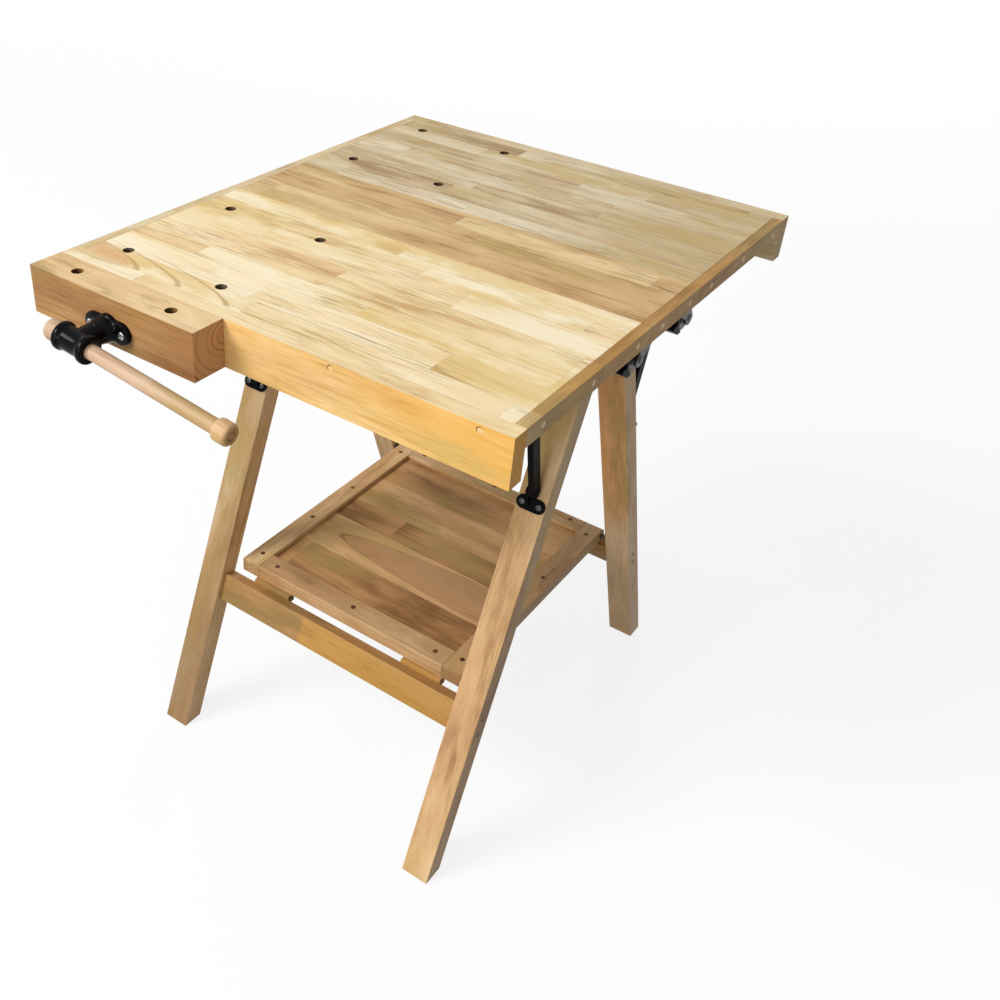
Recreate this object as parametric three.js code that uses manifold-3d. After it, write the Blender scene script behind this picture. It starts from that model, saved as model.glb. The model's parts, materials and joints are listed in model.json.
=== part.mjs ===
// A folding workbench: a three-section top, two hinged leg frames, a tilting shelf,
// folding stays and a front vise.
// Millimetres, +Z up, -Y towards the vise. The origin is on the floor under the middle of the bounding box.
import * as THREE from "three";
import { mergeVertices } from "three/addons/utils/BufferGeometryUtils.js";
import Module from "manifold-3d";

// Driving dimensions: the top
const TOP_WIDTH = 695; // along X
const TOP_DEPTH = 806; // along Y, from the front apron's face to the rear apron's face
const TOP_HEIGHT = 850;
const BOARD_THICKNESS = 25;
const SPINE_WIDTH = 150; // along Y
const SEAM_GAP = 1; // between the spine and a leaf
const BATTEN_WIDTH = 15; // along X
const APRON_THICKNESS = 25; // along Y
const APRON_HEIGHT = 67;
const DOG_HOLE_RADIUS = 8;
const DOG_COLUMN_PITCH = 167;
const DOG_OUTER_INSET = 61; // from the apron's face
const DOG_INNER_INSET = 69; // from the seam

// Driving dimensions: the leg frames
const LEG_WIDTH = 45; // along X
const LEG_THICKNESS = 33;
const LEG_END_INSET = 75.5; // from the top's end to the leg's outer side
const LEG_SPLAY = THREE.MathUtils.degToRad(21.3);
const LEG_PIVOT_OFFSET = 29.2; // from the spine's centre line
const LEG_TOP_MARGIN = 1.2; // the rounded top's radius beyond half the leg's thickness
const PIVOT_ROD_RADIUS = 5;
const PIVOT_ROD_COVER = 8; // wood left over the blind end of the rod
const CLEAT_WIDTH = 28; // along X
const CLEAT_HEIGHT = 40;
const CLEAT_END_MARGIN = 28; // beyond the pivot rod
const CLEAT_CHAMFER = 12;
const CLEAT_LEG_GAP = 1;
const STRETCHER_HEIGHT = 45;
const STRETCHER_THICKNESS = 25;

// Driving dimensions: the shelf
const SHELF_AXIS_HEIGHT = 274;
const SHELF_AXIS_SETBACK = 8; // from the rear legs' middle plane, towards the inside
const SHELF_THICKNESS = 24;
const SHELF_LEG_GAP = 13;
const SHELF_FRONT = 220; // from the spine's centre line to the shelf's front edge
const SHELF_SIDE_RAIL = 33;
const SHELF_CROSS_RAIL = 38;
const SHELF_PANEL_THICKNESS = 12;
const SHELF_PANEL_RECESS = 8; // below the rails' top
const SHELF_TONGUE = 6; // how far the panel enters its grooves
const SHELF_ROD_RADIUS = 4;
const SHELF_ROD_DEPTH = 25; // into each leg
const SHELF_FOLD_GAP = 4; // between the folded shelf's edge and the rear stretcher
const REST_LENGTH = 72; // along X
const REST_LEG_GAP = 43.5; // from a leg, along X
const REST_HEIGHT = 14;
const REST_REACH = 8; // under the shelf's front edge

// Driving dimensions: the leaf hinges
const HINGE_END_INSET = 8;
const HINGE_WIDTH = 30; // along X
const HINGE_DROP = 24; // from the boards' underside to the pin
const HINGE_PLATE = 2.5;
const HINGE_PLATE_REACH = 46; // of each wing, from the pin
const HINGE_LEAF_START = 4.5; // of the leaf's wing, from the pin
const HINGE_CHEEK = 4;
const HINGE_CHEEK_RADIUS = 11;
const HINGE_PIN_RADIUS = 4;
const HINGE_DISC_WIDTH = 17;
const HINGE_DISC_GAP = 4; // to the boards and to the bracket's plate
const HINGE_TOOTH_DEPTH = 2;
const HINGE_TEETH = 20;
const HINGE_WEB = 14; // of the wing, from its start, down to the disc

// Driving dimensions: the folding stays
const STAY_LEG_DROP = 233; // from the boards' underside to the leg's knuckle
const STAY_LEAF_REACH = 256; // from the spine's centre line to the leaf's knuckle
const STAY_STANDOFF = 9.5; // from a knuckle to the face its plate is on
const STAY_LEG_LINK = 160;
const STAY_LEAN = THREE.MathUtils.degToRad(14); // of the leg link, outwards from upright
const STAY_LEG_BAR = 9; // the leg link's thickness, along X
const STAY_LEAF_BAR = 5; // the leaf link's thickness, along X
const STAY_LAP_GAP = 0.6; // between two lapped bars
const STAY_LINK_GAP = 0.5; // from the leg link's round end to the leg
const STAY_LEAF_LINK_RADIUS = 7;
const STAY_PIN_RADIUS = 3.5;
const STAY_PIN_HEAD = 1.5; // beyond the bar
const STAY_PLATE_LENGTH = 44; // along X
const STAY_PLATE_WIDTH = 20;
const STAY_PLATE_THICKNESS = 3;
const STAY_PLATE_SHIFT = 20; // from the knuckle to the plate's middle
const STAY_LUG_GAP = 1.5; // from a lug's round end to the face its plate is on

// Driving dimensions: the vise
const JAW_WIDTH = 288; // along X
const JAW_DEPTH = 52; // along Y
const JAW_TRAVEL = 72;
const VISE_DROP = 16; // from the boards' underside to the screw's axis
const SCREW_RADIUS = 10;
const SCREW_RUN_OUT = 2; // of the tail, behind the opened nut
const GUIDE_ROD_RADIUS = 6;
const GUIDE_ROD_OFFSET = 62; // from the screw, along X
const GUIDE_ROD_EMBED = 40; // into the jaw
const GUIDE_ROD_RUN_OUT = 4;
const RUNNING_GAP = 0.4;
const NUT_WIDTH = 70;
const NUT_TOP_GAP = 1; // to the boards above
const NUT_PLATE = 6;
const NUT_DEPTH = 25;
const FLANGE_WIDTH = 78;
const FLANGE_HEIGHT = 30;
const FLANGE_THICKNESS = 7;
const NECK_BASE_WALL = 9; // round the screw, at the flange
const NECK_LENGTH = 20;
const NECK_TIP_WALL = 5; // round the screw, at the hub
const SHOULDER_LIP = 4; // the screw's shoulder, beyond its shaft
const HUB_STANDOFF = 54; // from the jaw's face to the handle's axis
const HUB_LENGTH = 50;
const HUB_WALL = 6; // round the handle
const HUB_COLLAR_LIP = 3; // beyond the hub's wall
const HUB_COLLAR_LENGTH = 9;
const HANDLE_DROOP = THREE.MathUtils.degToRad(6.5);
const HANDLE_RADIUS = 10;
const HANDLE_REACH = 256; // from the screw's axis to the cap's end
const KNOB_LIP = 4.6; // the knob, beyond the bar's radius
const KNOB_LENGTH = 23;
const KNOB_DOME = 8;
const CAP_LIP = 4.6; // the cap, beyond the bar's radius
const CAP_LENGTH = 22.5;
const CAP_SOCKET = 13;
const CAP_SHOULDER = 5;
const CAP_DOME = 6;

// Driving dimensions: clearances and facets
const GLUE_GAP = 0.3; // between pieces that touch
const ROUND_SIDES = 24;
const PIN_SIDES = 16;
const ARC_SEGMENTS = 6;
const DOME_STEPS = 4;
const OVERSHOOT = 1; // of a cutting tool past the face it cuts, and of a joined piece into its neighbour

// Sizes worked out from the driving dimensions
const halfWidth = TOP_WIDTH / 2;
const halfDepth = TOP_DEPTH / 2;
const underside = TOP_HEIGHT - BOARD_THICKNESS;
const panelHalfWidth = halfWidth - BATTEN_WIDTH - GLUE_GAP;
const seamEdge = SPINE_WIDTH / 2 + SEAM_GAP;
const apronBack = halfDepth - APRON_THICKNESS;
const legOuter = halfWidth - LEG_END_INSET;
const legInner = legOuter - LEG_WIDTH;
const legMiddle = (legOuter + legInner) / 2;
const legTopRadius = LEG_THICKNESS / 2 + LEG_TOP_MARGIN;
const pivotHeight = underside - GLUE_GAP - legTopRadius;
const shelfHalfWidth = legInner - SHELF_LEG_GAP;
const shelfRound = SHELF_THICKNESS / 2;
const shelfAxis = {
  across: -SHELF_AXIS_SETBACK,
  along: distanceDownLeg(-SHELF_AXIS_SETBACK, SHELF_AXIS_HEIGHT),
};
const shelfAxisOffset = frameToBench(shelfAxis.across, shelfAxis.along).y;
const stretcherTop = shelfAxis.along + shelfRound + SHELF_FOLD_GAP;
const hingePin = { y: SPINE_WIDTH / 2 + SEAM_GAP / 2, z: underside - HINGE_DROP };
const hingeMiddle = halfWidth - HINGE_END_INSET - HINGE_WIDTH / 2;
const hingeDiscRadius = HINGE_DROP - HINGE_DISC_GAP;
const jawCentre = -halfWidth + JAW_WIDTH / 2;
const jawFront = halfDepth + JAW_DEPTH;
const viseHeight = underside - VISE_DROP;
const hubCentre = jawFront + HUB_STANDOFF;
const nutHalf = VISE_DROP - NUT_TOP_GAP;
const hubRadius = HANDLE_RADIUS + HUB_WALL;
const collarRadius = hubRadius + HUB_COLLAR_LIP;
const knobRadius = HANDLE_RADIUS + KNOB_LIP;
const capRadius = HANDLE_RADIUS + CAP_LIP;
const dogColumns = [jawCentre - DOG_COLUMN_PITCH / 2, jawCentre + DOG_COLUMN_PITCH / 2];
const stayHalf = (STAY_LEG_BAR + STAY_LAP_GAP + STAY_LEAF_BAR) / 2;
const stayInnerSlab = [-stayHalf, -stayHalf + STAY_LEAF_BAR];
const stayOuterSlab = [stayHalf - STAY_LEG_BAR, stayHalf];
const frontReach = hubCentre + collarRadius;

// How far down the leg a point lies, given its distance across the leg and its height above the floor.
function distanceDownLeg(across, height) {
  return (pivotHeight + across * Math.sin(LEG_SPLAY) - height) / Math.cos(LEG_SPLAY);
}

// A point of a leg frame, across and down the leg from the pivot, as a point of the bench's half section.
function frameToBench(across, along) {
  return {
    y: LEG_PIVOT_OFFSET + along * Math.sin(LEG_SPLAY) + across * Math.cos(LEG_SPLAY),
    z: pivotHeight + across * Math.sin(LEG_SPLAY) - along * Math.cos(LEG_SPLAY),
  };
}

// The inverse of frameToBench.
function benchToFrame(y, z) {
  const outward = y - LEG_PIVOT_OFFSET;
  const upward = z - pivotHeight;
  return {
    across: outward * Math.cos(LEG_SPLAY) + upward * Math.sin(LEG_SPLAY),
    along: outward * Math.sin(LEG_SPLAY) - upward * Math.cos(LEG_SPLAY),
  };
}

// Solids

const wasm = await Module();
wasm.setup();

function toSolid(geometry) {
  const bare = new THREE.BufferGeometry();
  bare.setAttribute("position", geometry.getAttribute("position"));
  bare.setIndex(geometry.index);
  const merged = mergeVertices(bare, 1e-3);
  return new wasm.Manifold(
    new wasm.Mesh({
      numProp: 3,
      vertProperties: merged.attributes.position.array,
      triVerts: new Uint32Array(merged.index.array),
    }),
  );
}

function toGeometry(solid) {
  const mesh = solid.getMesh();
  const geometry = new THREE.BufferGeometry();
  geometry.setAttribute("position", new THREE.BufferAttribute(mesh.vertProperties, mesh.numProp));
  geometry.setIndex(new THREE.BufferAttribute(mesh.triVerts, 1));
  geometry.computeVertexNormals();
  return geometry;
}

function join(...geometries) {
  return toGeometry(geometries.map(toSolid).reduce((whole, piece) => whole.add(piece)));
}

function cut(geometry, ...tools) {
  return toGeometry(tools.map(toSolid).reduce((whole, tool) => whole.subtract(tool), toSolid(geometry)));
}

function block(low, high) {
  const size = high.map((value, index) => value - low[index]);
  const middle = high.map((value, index) => (value + low[index]) / 2);
  return new THREE.BoxGeometry(...size).translate(...middle);
}

// A shape drawn in (x, y), extruded along Z.
function extrudeAlongZ(shape, from, to) {
  const settings = { depth: to - from, bevelEnabled: false, curveSegments: ARC_SEGMENTS };
  return new THREE.ExtrudeGeometry(shape, settings).translate(0, 0, from);
}

// A shape drawn in (y, z), extruded along X.
function extrudeAlongX(shape, from, to) {
  const turn = new THREE.Matrix4().makeBasis(
    new THREE.Vector3(0, 1, 0),
    new THREE.Vector3(0, 0, 1),
    new THREE.Vector3(1, 0, 0),
  );
  return extrudeAlongZ(shape, from, to).applyMatrix4(turn);
}

function rodAlongX(radius, from, to, y, z, facets = PIN_SIDES) {
  const geometry = new THREE.CylinderGeometry(radius, radius, to - from, facets);
  return geometry.rotateZ(Math.PI / 2).translate((from + to) / 2, y, z);
}

function rodAlongY(radius, from, to, x, z) {
  return coneAlongY(radius, radius, from, to, x, z);
}

function coneAlongY(fromRadius, toRadius, from, to, x, z) {
  const geometry = new THREE.CylinderGeometry(toRadius, fromRadius, to - from, ROUND_SIDES);
  return geometry.translate(x, (from + to) / 2, z);
}

function rodAlongZ(radius, from, to, x, y) {
  const geometry = new THREE.CylinderGeometry(radius, radius, to - from, ROUND_SIDES);
  return geometry.rotateX(Math.PI / 2).translate(x, y, (from + to) / 2);
}

function polygon(points) {
  return new THREE.Shape(points.map(([a, b]) => new THREE.Vector2(a, b)));
}

// A slot-shaped outline with round ends, centred on the origin, with its length along the first axis.
function oblong(length, width) {
  const reach = (length - width) / 2;
  const shape = new THREE.Shape();
  shape.absarc(reach, 0, width / 2, -Math.PI / 2, Math.PI / 2, false);
  shape.absarc(-reach, 0, width / 2, Math.PI / 2, (3 * Math.PI) / 2, false);
  return shape;
}

// A bar outline with round ends about the origin and a point up the second axis.
function barOutline(length, radius) {
  const shape = new THREE.Shape();
  shape.absarc(0, length, radius, 0, Math.PI, false);
  shape.absarc(0, 0, radius, Math.PI, 2 * Math.PI, false);
  return shape;
}

// Materials and meshes

const HONEY = 0xd9b57c;
const AMBER = 0xb98446;
const ORANGE = 0xd59a48;
const TAN = 0xb98a58;
const BEECH = 0xd8b08a;
const BLACK = 0x111214;
const STEEL = 0xa9abad;

function wood(color) {
  return new THREE.MeshStandardMaterial({ color, roughness: 0.45, metalness: 0 });
}

function blackMetal() {
  return new THREE.MeshStandardMaterial({ color: BLACK, roughness: 0.35, metalness: 0.4 });
}

function steel() {
  return new THREE.MeshStandardMaterial({ color: STEEL, roughness: 0.35, metalness: 1 });
}

function place(parent, name, geometry, material) {
  const mesh = new THREE.Mesh(geometry, material);
  mesh.name = name;
  parent.add(mesh);
  return mesh;
}

function addGroup(parent, x, y, z) {
  const group = new THREE.Group();
  group.position.set(x, y, z);
  parent.add(group);
  return group;
}

// The two ends of the bench and its two sides. A front side's group is mirrored, so +Y is outwards in both.
const ends = [
  { name: "left", sign: -1 },
  { name: "right", sign: 1 },
];
const sides = [
  { name: "front", sign: -1 },
  { name: "rear", sign: 1 },
];

// The span from one distance to another on the given end of the bench, in rising order.
function spanAtEnd(end, near, far) {
  return end.sign > 0 ? [near, far] : [-far, -near];
}

// The spine: the middle of the top, and the cleats that carry the legs' pivot rods

function addSpine(bench) {
  const edge = SPINE_WIDTH / 2;
  const board = block([-panelHalfWidth, -edge, underside], [panelHalfWidth, edge, TOP_HEIGHT]);
  place(bench, "spine_board", board, wood(HONEY));
  for (const end of ends) {
    const [low, high] = spanAtEnd(end, halfWidth - BATTEN_WIDTH, halfWidth);
    const batten = block([low, -edge, underside], [high, edge, TOP_HEIGHT]);
    place(bench, `spine_batten_${end.name}`, batten, wood(AMBER));
    place(bench, `pivot_cleat_${end.name}`, cleatGeometry(end), wood(TAN));
  }
}

function cleatGeometry(end) {
  const [low, high] = spanAtEnd(end, legInner - CLEAT_LEG_GAP - CLEAT_WIDTH, legInner - CLEAT_LEG_GAP);
  const reach = LEG_PIVOT_OFFSET + CLEAT_END_MARGIN;
  const top = underside - GLUE_GAP;
  const bottom = top - CLEAT_HEIGHT;
  const outline = polygon([
    [-reach, top],
    [-reach, bottom + CLEAT_CHAMFER],
    [-reach + CLEAT_CHAMFER, bottom],
    [reach - CLEAT_CHAMFER, bottom],
    [reach, bottom + CLEAT_CHAMFER],
    [reach, top],
  ]);
  const boreRadius = PIVOT_ROD_RADIUS + GLUE_GAP;
  const bores = sides.map((side) =>
    rodAlongX(boreRadius, low - OVERSHOOT, high + OVERSHOOT, side.sign * LEG_PIVOT_OFFSET, pivotHeight),
  );
  return cut(extrudeAlongX(outline, low, high), ...bores);
}

// A leaf: panel with dog holes, end battens and apron

function addLeaf(parent, side) {
  const panelEnd = apronBack - GLUE_GAP;
  const panel = block([-panelHalfWidth, seamEdge, underside], [panelHalfWidth, panelEnd, TOP_HEIGHT]);
  const rows = [seamEdge + DOG_INNER_INSET, halfDepth - DOG_OUTER_INSET];
  const holes = rows.flatMap((row) => dogColumns.map((column) => dogHole(column, row)));
  place(parent, `${side.name}_leaf_panel`, cut(panel, ...holes), wood(HONEY));
  for (const end of ends) {
    const [low, high] = spanAtEnd(end, halfWidth - BATTEN_WIDTH, halfWidth);
    const batten = block([low, seamEdge, underside], [high, panelEnd, TOP_HEIGHT]);
    place(parent, `${side.name}_leaf_batten_${end.name}`, batten, wood(AMBER));
  }
  const apron = block([-halfWidth, apronBack, TOP_HEIGHT - APRON_HEIGHT], [halfWidth, halfDepth, TOP_HEIGHT]);
  const bored = side.name === "front" ? cut(apron, ...apronBores()) : apron;
  place(parent, `${side.name}_apron`, bored, wood(ORANGE));
}

function dogHole(x, y) {
  return rodAlongZ(DOG_HOLE_RADIUS, underside - OVERSHOOT, TOP_HEIGHT + OVERSHOOT, x, y);
}

// The holes that the vise's screw and guide rods run through.
function apronBores() {
  const from = apronBack - OVERSHOOT;
  const to = halfDepth + OVERSHOOT;
  const guides = [-GUIDE_ROD_OFFSET, GUIDE_ROD_OFFSET].map((offset) =>
    rodAlongY(GUIDE_ROD_RADIUS + RUNNING_GAP, from, to, jawCentre + offset, viseHeight),
  );
  return [rodAlongY(SCREW_RADIUS + RUNNING_GAP, from, to, jawCentre, viseHeight), ...guides];
}

// A leaf hinge: a bracket with its pin under the spine, and a wing with a toothed disc under the leaf

function hingeBracketGeometry() {
  const half = HINGE_WIDTH / 2;
  const plateTop = HINGE_DROP - GLUE_GAP;
  const plateBottom = plateTop - HINGE_PLATE;
  const discClearance = Math.sqrt((hingeDiscRadius + HINGE_DISC_GAP) ** 2 - plateBottom ** 2);
  const plate = block([-half, -HINGE_PLATE_REACH, plateBottom], [half, -discClearance, plateTop]);
  const cheek = new THREE.Shape();
  cheek.moveTo(-HINGE_PLATE_REACH, plateTop);
  cheek.lineTo(-HINGE_PLATE_REACH, plateBottom);
  cheek.absarc(0, 0, HINGE_CHEEK_RADIUS, Math.PI, 2 * Math.PI, false);
  cheek.lineTo(-HINGE_CHEEK_RADIUS / 2, plateTop);
  const cheeks = [-half, half - HINGE_CHEEK].map((from) => extrudeAlongX(cheek, from, from + HINGE_CHEEK));
  return join(plate, ...cheeks, rodAlongX(HINGE_PIN_RADIUS, -half, half, 0, 0));
}

function hingeWingGeometry() {
  const half = HINGE_WIDTH / 2;
  const plateTop = HINGE_DROP - GLUE_GAP;
  const plate = block([-half, HINGE_LEAF_START, plateTop - HINGE_PLATE], [half, HINGE_PLATE_REACH, plateTop]);
  const outline = Array.from({ length: 2 * HINGE_TEETH }, (unused, index) => {
    const radius = hingeDiscRadius - (index % 2) * HINGE_TOOTH_DEPTH;
    const angle = (index * Math.PI) / HINGE_TEETH;
    return [radius * Math.cos(angle), radius * Math.sin(angle)];
  });
  const discHalf = HINGE_DISC_WIDTH / 2;
  const disc = extrudeAlongX(polygon(outline), -discHalf, discHalf);
  const web = block([-discHalf, HINGE_LEAF_START, 0], [discHalf, HINGE_LEAF_START + HINGE_WEB, plateTop]);
  const bore = rodAlongX(HINGE_PIN_RADIUS + GLUE_GAP, -half, half, 0, 0);
  return cut(join(plate, web, disc), bore);
}

function addHinges(parent, side) {
  for (const end of ends) {
    const hinge = addGroup(parent, end.sign * hingeMiddle, hingePin.y, hingePin.z);
    place(hinge, `hinge_bracket_${side.name}_${end.name}`, hingeBracketGeometry(), steel());
    place(hinge, `hinge_wing_${side.name}_${end.name}`, hingeWingGeometry(), steel());
  }
}

// A leg frame, built across (Y) and up (Z) the legs from the pivot and turned to its splay

function legGeometry(end) {
  const half = LEG_THICKNESS / 2;
  const [low, high] = spanAtEnd(end, legInner, legOuter);
  const bearingEnd = (legTopRadius - half * Math.sin(LEG_SPLAY)) / Math.cos(LEG_SPLAY);
  const outline = new THREE.Shape();
  outline.moveTo(half, -distanceDownLeg(half, 0));
  outline.lineTo(half, bearingEnd);
  outline.absarc(0, 0, legTopRadius, Math.PI / 2 - LEG_SPLAY, Math.acos(-half / legTopRadius), false);
  outline.lineTo(-half, -distanceDownLeg(-half, 0));
  return extrudeAlongX(outline, low, high);
}

// The blind bore in a leg for a rod that enters it from the inner side.
function legBore(end, radius, depth, y, z) {
  const [low, high] = spanAtEnd(end, legInner - OVERSHOOT, legInner + depth + GLUE_GAP);
  return rodAlongX(radius + GLUE_GAP, low, high, y, z);
}

function stretcherGeometry() {
  const half = LEG_THICKNESS / 2;
  const reach = legInner - GLUE_GAP;
  const low = [-reach, -half, -stretcherTop - STRETCHER_HEIGHT];
  return block(low, [reach, -half + STRETCHER_THICKNESS, -stretcherTop]);
}

// The front stretcher carries two glued blocks that the shelf's front edge rests on.
function shelfRests() {
  const top = SHELF_AXIS_HEIGHT - shelfRound - GLUE_GAP;
  const bottom = top - REST_HEIGHT;
  const root = -LEG_THICKNESS / 2 + OVERSHOOT;
  const inner = SHELF_FRONT - REST_REACH;
  const innerTop = benchToFrame(inner, top);
  const innerBottom = benchToFrame(inner, bottom);
  const outline = polygon([
    [root, -distanceDownLeg(root, bottom)],
    [root, -distanceDownLeg(root, top)],
    [innerTop.across, -innerTop.along],
    [innerBottom.across, -innerBottom.along],
  ]);
  const far = legInner - REST_LEG_GAP;
  return ends.map((end) => extrudeAlongX(outline, ...spanAtEnd(end, far - REST_LENGTH, far)));
}

function addLegFrame(parent, side) {
  const frame = addGroup(parent, 0, LEG_PIVOT_OFFSET, pivotHeight);
  frame.rotation.x = LEG_SPLAY;
  const rodReach = legOuter - PIVOT_ROD_COVER;
  for (const end of ends) {
    const bores = [legBore(end, PIVOT_ROD_RADIUS, rodReach - legInner, 0, 0)];
    if (side.name === "rear") {
      bores.push(legBore(end, SHELF_ROD_RADIUS, SHELF_ROD_DEPTH, shelfAxis.across, -shelfAxis.along));
    }
    place(frame, `leg_${side.name}_${end.name}`, cut(legGeometry(end), ...bores), wood(TAN));
  }
  const rests = side.name === "front" ? shelfRests() : [];
  place(frame, `stretcher_${side.name}`, join(stretcherGeometry(), ...rests), wood(TAN));
  place(frame, `leg_pivot_rod_${side.name}`, rodAlongX(PIVOT_ROD_RADIUS, -rodReach, rodReach, 0, 0), steel());
  return frame;
}

// The shelf, built from its pivot rod's axis, with its front edge towards -Y

function addShelf(rearFrame) {
  const shelf = addGroup(rearFrame, 0, shelfAxis.across, -shelfAxis.along);
  shelf.rotation.x = -LEG_SPLAY;
  const half = shelfRound;
  const front = -shelfAxisOffset - SHELF_FRONT;
  const panelSide = shelfHalfWidth - SHELF_SIDE_RAIL;
  const panelRear = shelfRound - SHELF_CROSS_RAIL;
  const panelFront = front + SHELF_CROSS_RAIL;
  const panelTop = half - SHELF_PANEL_RECESS;
  const panelBottom = panelTop - SHELF_PANEL_THICKNESS;
  const tongue = SHELF_TONGUE - GLUE_GAP;
  const panel = block(
    [-panelSide - tongue, panelFront - tongue, panelBottom],
    [panelSide + tongue, panelRear + tongue, panelTop],
  );
  const groove = block(
    [-panelSide - SHELF_TONGUE, panelFront - SHELF_TONGUE, panelBottom - GLUE_GAP],
    [panelSide + SHELF_TONGUE, panelRear + SHELF_TONGUE, panelTop + GLUE_GAP],
  );
  const rodReach = legInner + SHELF_ROD_DEPTH;
  const bore = rodAlongX(SHELF_ROD_RADIUS + GLUE_GAP, -rodReach, rodReach, 0, 0);
  const crossReach = panelSide - GLUE_GAP;
  place(shelf, "shelf_panel", panel, wood(TAN));
  for (const end of ends) {
    const [low, high] = spanAtEnd(end, panelSide, shelfHalfWidth);
    const rail = extrudeAlongX(roundedRail(front), low, high);
    place(shelf, `shelf_rail_${end.name}`, cut(rail, groove, bore), wood(TAN));
  }
  const rearRail = extrudeAlongX(roundedRail(panelRear), -crossReach, crossReach);
  place(shelf, "shelf_rail_rear", cut(rearRail, groove, bore), wood(TAN));
  const frontRail = block([-crossReach, front, -half], [crossReach, panelFront, half]);
  place(shelf, "shelf_rail_front", cut(frontRail, groove), wood(TAN));
  place(shelf, "shelf_pivot_rod", rodAlongX(SHELF_ROD_RADIUS, -rodReach, rodReach, 0, 0), steel());
}

// A rail section from the given front edge to a half-round rear edge about the pivot.
function roundedRail(front) {
  const shape = new THREE.Shape();
  shape.moveTo(front, shelfRound);
  shape.lineTo(front, -shelfRound);
  shape.absarc(0, 0, shelfRound, -Math.PI / 2, Math.PI / 2, false);
  return shape;
}

// A folding stay: a plate with a knuckle on the leg and another on the leaf, joined by two lapped links

// Built with its face on Z = 0, the knuckle over the origin, the plate towards +Y, the lug on the inner slab.
function stayPlateGeometry(end) {
  const foot = GLUE_GAP;
  const plate = extrudeAlongZ(oblong(STAY_PLATE_LENGTH, STAY_PLATE_WIDTH), foot, foot + STAY_PLATE_THICKNESS);
  plate.translate(0, STAY_PLATE_SHIFT, 0);
  const lug = new THREE.Shape();
  const lugEnd = STAY_PLATE_SHIFT + STAY_PLATE_WIDTH / 3;
  lug.absarc(0, STAY_STANDOFF, STAY_STANDOFF - STAY_LUG_GAP, Math.PI / 2, (3 * Math.PI) / 2, false);
  lug.lineTo(lugEnd, foot + OVERSHOOT);
  lug.lineTo(lugEnd, foot + STAY_PLATE_THICKNESS);
  const pinEnd = stayOuterSlab[1] + STAY_PIN_HEAD;
  const pin = rodAlongX(STAY_PIN_RADIUS, ...spanAtEnd(end, stayInnerSlab[0], pinEnd), 0, STAY_STANDOFF);
  return join(plate, extrudeAlongX(lug, ...spanAtEnd(end, ...stayInnerSlab)), pin);
}

function stayLinkGeometry(length, radius, slab) {
  const bore = rodAlongX(STAY_PIN_RADIUS + GLUE_GAP, slab[0] - OVERSHOOT, slab[1] + OVERSHOOT, 0, 0);
  return cut(extrudeAlongX(barOutline(length, radius), ...slab), bore);
}

function addStays(parent, frame, side) {
  const legAcross = LEG_THICKNESS / 2 + STAY_STANDOFF;
  const legAlong = distanceDownLeg(legAcross, underside - STAY_LEG_DROP);
  const legKnuckle = frameToBench(legAcross, legAlong);
  const leafKnuckle = { y: STAY_LEAF_REACH, z: underside - STAY_STANDOFF };
  const elbow = {
    y: legKnuckle.y + STAY_LEG_LINK * Math.sin(STAY_LEAN),
    z: legKnuckle.z + STAY_LEG_LINK * Math.cos(STAY_LEAN),
  };
  const leafLink = Math.hypot(elbow.y - leafKnuckle.y, elbow.z - leafKnuckle.z);
  const leafLean = Math.atan2(elbow.y - leafKnuckle.y, elbow.z - leafKnuckle.z);
  for (const end of ends) {
    const where = `${side.name}_${end.name}`;
    const x = end.sign * legMiddle;
    const onLeg = addGroup(frame, x, LEG_THICKNESS / 2, -legAlong);
    onLeg.rotation.x = -Math.PI / 2;
    place(onLeg, `stay_leg_plate_${where}`, stayPlateGeometry(end), blackMetal());
    const legTurn = addGroup(frame, x, legAcross, -legAlong);
    legTurn.rotation.x = -STAY_LEAN - LEG_SPLAY;
    const legBarRadius = STAY_STANDOFF - STAY_LINK_GAP;
    const legBar = stayLinkGeometry(STAY_LEG_LINK, legBarRadius, spanAtEnd(end, ...stayOuterSlab));
    place(legTurn, `stay_leg_link_${where}`, legBar, blackMetal());
    const onLeaf = addGroup(parent, x, leafKnuckle.y, underside);
    onLeaf.rotation.y = Math.PI;
    place(onLeaf, `stay_leaf_plate_${where}`, stayPlateGeometry(end), blackMetal());
    const leafTurn = addGroup(parent, x, leafKnuckle.y, leafKnuckle.z);
    leafTurn.rotation.x = -leafLean;
    const leafBar = stayLinkGeometry(leafLink, STAY_LEAF_LINK_RADIUS, spanAtEnd(end, ...stayInnerSlab));
    place(leafTurn, `stay_leaf_link_${where}`, leafBar, blackMetal());
  }
}

// The vise, built round the screw's axis, with +Y outwards from the bench

function addVise(parent) {
  const vise = addGroup(parent, jawCentre, 0, viseHeight);
  place(vise, "vise_jaw", jawGeometry(), wood(TAN));
  place(vise, "vise_flange", flangeGeometry(), blackMetal());
  const rodTail = apronBack - JAW_TRAVEL - GUIDE_ROD_RUN_OUT;
  const rodFront = halfDepth + GUIDE_ROD_EMBED;
  for (const end of ends) {
    const rod = rodAlongY(GUIDE_ROD_RADIUS, rodTail, rodFront, end.sign * GUIDE_ROD_OFFSET, 0);
    place(vise, `vise_guide_rod_${end.name}`, rod, steel());
  }
  place(vise, "vise_nut", nutGeometry(), steel());
  const screw = addGroup(vise, 0, 0, 0);
  screw.rotation.y = HANDLE_DROOP;
  place(screw, "vise_screw", screwGeometry(), blackMetal());
  const handle = addGroup(screw, 0, hubCentre, 0);
  handle.rotation.z = -Math.PI / 2;
  place(handle, "vise_handle_bar", handleBarGeometry(), wood(BEECH));
  place(handle, "vise_handle_cap", handleCapGeometry(), wood(BEECH));
}

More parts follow.
